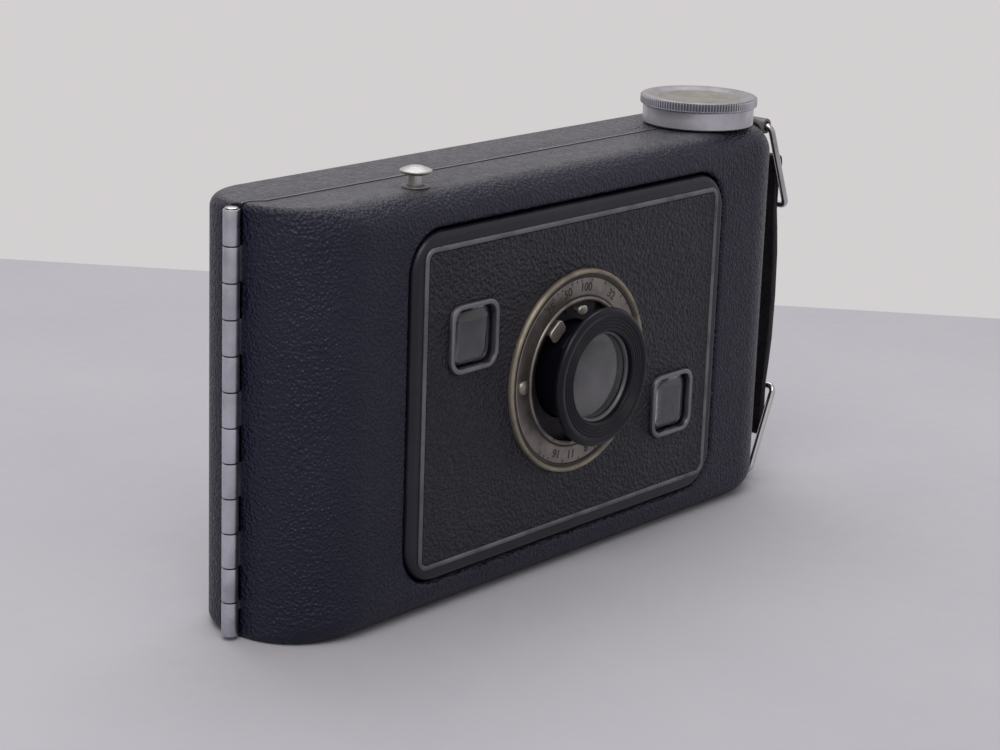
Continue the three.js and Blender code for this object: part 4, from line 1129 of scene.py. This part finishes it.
SLIDE = 70
BELLOWS_FRONT = -8.8
BELLOWS_THROAT = 4.2
BELLOWS_REAR = 12.6
FOLDS = 15
BELLOWS_WIDE_X = 42.6
BELLOWS_WIDE_Z = 28.6
BELLOWS_NARROW = 24.6
PLEAT_DEPTH = 2.6
BELLOWS_SKIN = 0.5


def eased(t):
    return t * t * (3 - 2 * t)


def fold_place(share):
    """The rest position of a fold that is to lie at this share of the stretched length."""
    run = BELLOWS_REAR - BELLOWS_THROAT
    low, high = 0.0, 1.0
    for _ in range(50):
        middle = (low + high) / 2
        if run * middle + SLIDE * eased(middle) < share * (run + SLIDE):
            low = middle
        else:
            high = middle
    return BELLOWS_REAR - run * low


def bellows_mesh():
    """Leather folds in a box that narrows towards the lens, on a straight collar behind the panel."""
    outer = []
    for k in range(2 * FOLDS + 1):
        share = k / (2 * FOLDS)
        half_x = BELLOWS_WIDE_X + (BELLOWS_NARROW - BELLOWS_WIDE_X) * share
        half_z = BELLOWS_WIDE_Z + (BELLOWS_NARROW - BELLOWS_WIDE_Z) * share
        inward = 0.0 if k % 2 == 0 else PLEAT_DEPTH
        outer.append((half_x - inward, half_z - inward, fold_place(share)))
    outer += [(24, 24, 3.4), (21, 21, 2.6), (21, 21, BELLOWS_FRONT)]
    inner = [(x - BELLOWS_SKIN, z - BELLOWS_SKIN, y) for x, z, y in reversed(outer)]
    rings = [at_y(rounded(0, AXIS_HEIGHT, 2 * x, 2 * z, 1.6, 4), y) for x, z, y in outer + inner]
    return loft("bellows_folds", rings, closed=True)


folds = bellows_mesh()
folds.data.materials.append(BELLOWS_LEATHER)
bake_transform(folds)
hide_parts("bellows")

# ------------ carrying strap


def flipped(piece):
    """Turns a piece of the upper strap fitting over for the lower end."""
    turn = Matrix.Translation((0, (LOOP_NEAR + LOOP_FAR) * MM, BODY_HEIGHT * MM)) @ Matrix.Rotation(math.pi,
                                                                                                    4, "X")
    return moved(piece, turn)


def strap_lug(name, reach):
    """A strip screwed over the rounded edge and curled round the wire."""
    centre_x = BODY_RIGHT - EDGE_RADIUS
    centre_z = BODY_HEIGHT - EDGE_RADIUS
    outline = arc(centre_x, centre_z, EDGE_RADIUS + 0.9, 30, reach, 16)
    outline += arc(centre_x, centre_z, EDGE_RADIUS + 0.05, reach, 30, 16)
    band = soften(plate_y(name, outline, LOOP_NEAR + 1.1, LOOP_FAR - 1.1), 0.2, 3)
    near = LOOP_NEAR + 1.1
    far = LOOP_FAR - 1.1
    curl = lathe("curl", [
        (1.05, near), (1.5, near), (1.66, near + 0.06), (1.7, near + 0.25), (1.7, far - 0.25),
        (1.66, far - 0.06),
        (1.5, far), (1.05, far),
    ], LOOP_TOP, segments=48)
    return gather(band, curl)


def wire_loop(name):
    """A closed rectangle of round wire with bent corners, hanging from the lug."""
    down = Vector((LOOP_OUT[0] - LOOP_TOP[0], 0, LOOP_OUT[1] - LOOP_TOP[1]))
    length = down.length
    down.normalize()
    start = Vector((LOOP_TOP[0], 0, LOOP_TOP[1]))
    path = []
    for a, b in rounded(length / 2, (LOOP_NEAR + LOOP_FAR) / 2, length, LOOP_FAR - LOOP_NEAR, 1.5, 8):
        spot = start + down * a
        path.append((spot.x, b, spot.z))
    section = [(LOOP_WIRE * math.cos(t * math.pi / 10),
                LOOP_WIRE * math.sin(t * math.pi / 10)) for t in range(20)]
    return swept(name, path, section, down.cross(Vector((0, 1, 0))))


finish_piece(strap_lug("lug_upper", 76), LUG_METAL, "camera_body", "nickel", "strap_lug_top")
finish_piece(flipped(strap_lug("lug_lower", 56)), LUG_METAL, "camera_body", "nickel", "strap_lug_bottom")
finish_piece(wire_loop("loop_wire_upper"), BRIGHT_NICKEL, "strap_loop_top", "nickel", "strap_loop_top")
finish_piece(flipped(wire_loop("loop_wire_lower")), BRIGHT_NICKEL, "strap_loop_bottom", "nickel",
             "strap_loop_bottom")


# Height, inner X, outer X and narrowing on each side, from the lower end to below the middle.
STRAP_HALF = (
    (9, 81.3, 82.5, 0.9), (9.15, 80.9, 82.9, 0.5), (9.6, 80.65, 83.15, 0.15), (10.6, 80.6, 83.2, 0),
    (13.6, 80.6, 83.2, 0), (14.6, 80.7, 83.1, 0.02), (15.3, 80.95, 82.7, 0.05), (16.2, 81, 82.55, 0.1),
    (21.5, 81, 82.5, 0.12), (26, 81.5, 83.2, 0.15), (32, 82.1, 83.9, 0.18),
)
STRAP_MIDDLE = (AXIS_HEIGHT, 82.4, 84.2, 0.2)
STRAP_Y = 2.4
STRAP_WIDTH = 8.8


def strap_mesh():
    """A leather strip with folded ends that stand thicker than the rest, the same above and below."""
    upper = [(BODY_HEIGHT - z, x0, x1, narrow) for z, x0, x1, narrow in reversed(STRAP_HALF)]
    rings = []
    for z, x0, x1, narrow in [*STRAP_HALF, STRAP_MIDDLE, *upper]:
        thick = x1 - x0
        corner = min(0.62, thick * 0.45)
        outline = rounded((x0 + x1) / 2, STRAP_Y, thick, STRAP_WIDTH - 2 * narrow, corner, 5)
        rings.append(at_z(outline, z))
    return loft("strap_strip", rings)


finish_piece(strap_mesh(), STRAP_LEATHER, "carrying_strap", "strap_leather", "carrying_strap")

# ------------ CAD nodes that stay as they are

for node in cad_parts.values():
    if node.hide_render:
        continue
    for holder in node.material_slots:
        holder.material = SLOT_MATERIALS[holder.material.name]

# ------------ studio

TABLE_DEPTH = 255
TABLE_REACH = 1500
TABLE_NEAR = -1600
TABLE_ROLL = 30
BACKDROP = (0.655, 0.63, 0.635)
CAMERA_PLACE = (-0.37994, -0.31383, 0.17789)
CAMERA_FORWARD = (0.73313, 0.62319, -0.27232)
CAMERA_UP = (0.18471, 0.20291, 0.96162)
CAMERA_LENS = 89.5


def table_top():
    """A pale table whose far edge runs across behind the camera."""
    across = Vector((0.565, -0.825, 0))
    away = Vector((0.825, 0.565, 0))
    corners = []
    for along, depth in (
        (-TABLE_REACH, TABLE_NEAR), (TABLE_REACH, TABLE_NEAR), (TABLE_REACH, TABLE_DEPTH),
        (-TABLE_REACH, TABLE_DEPTH),
    ):
        spot = across * along + away * depth
        corners.append((spot.x, spot.y))
    slab = plate_z("table", corners, -2 * TABLE_ROLL, 0)
    return soften(slab, TABLE_ROLL, 12, 30)


made, tree, shader = nodes_of("table_paper")
tone = mixed(tree, ranged(tree, noise(tree, 9, 5), 0.0, 1.0), (0.404, 0.4, 0.436), (0.442, 0.437, 0.47))
tree.links.new(tone, shader.inputs["Base Color"])
tree.links.new(ranged(tree, noise(tree, 200, 4), 0.55, 0.75), shader.inputs["Roughness"])
shader.inputs["Specular IOR Level"].default_value = 0.25
tree.links.new(bumped(tree, noise(tree, 1400, 3), 0.15, 0.05), shader.inputs["Normal"])
table = table_top()
table.data.materials.append(made)

world = bpy.data.worlds.new("studio")
bpy.context.scene.world = world
world.use_nodes = True
world.node_tree.nodes["Background"].inputs["Color"].default_value = (*BACKDROP, 1)
world.node_tree.nodes["Background"].inputs["Strength"].default_value = 1.0


def softbox(name, place, target, size, power, colour):
    light = bpy.data.lights.new(name, "AREA")
    light.shape = "RECTANGLE"
    light.size = size[0]
    light.size_y = size[1]
    light.energy = power
    light.color = colour
    holder = bpy.data.objects.new(name, light)
    holder.location = place
    holder.rotation_euler = (Vector(target) - Vector(place)).to_track_quat("-Z", "Y").to_euler()
    bpy.context.scene.collection.objects.link(holder)


softbox("key", (-0.55, -0.35, 0.95), (0, 0, 0.03), (0.7, 0.7), 5.5, (1, 0.98, 0.96))
softbox("top", (0.25, 0.3, 0.9), (0, 0, 0.05), (0.8, 0.5), 3.0, (0.97, 0.98, 1))

camera = bpy.data.cameras.new("camera")
camera.lens = CAMERA_LENS
camera.sensor_width = 36
camera.clip_start = 0.02
holder = bpy.data.objects.new("camera", camera)
bpy.context.scene.collection.objects.link(holder)
forward = Vector(CAMERA_FORWARD).normalized()
side = forward.cross(Vector(CAMERA_UP)).normalized()
upward = side.cross(forward)
turned = Matrix((side, upward, -forward)).transposed().to_4x4()
holder.matrix_world = Matrix.Translation(CAMERA_PLACE) @ turned
bpy.context.scene.camera = holder
bpy.context.scene.view_settings.view_transform = "Standard"
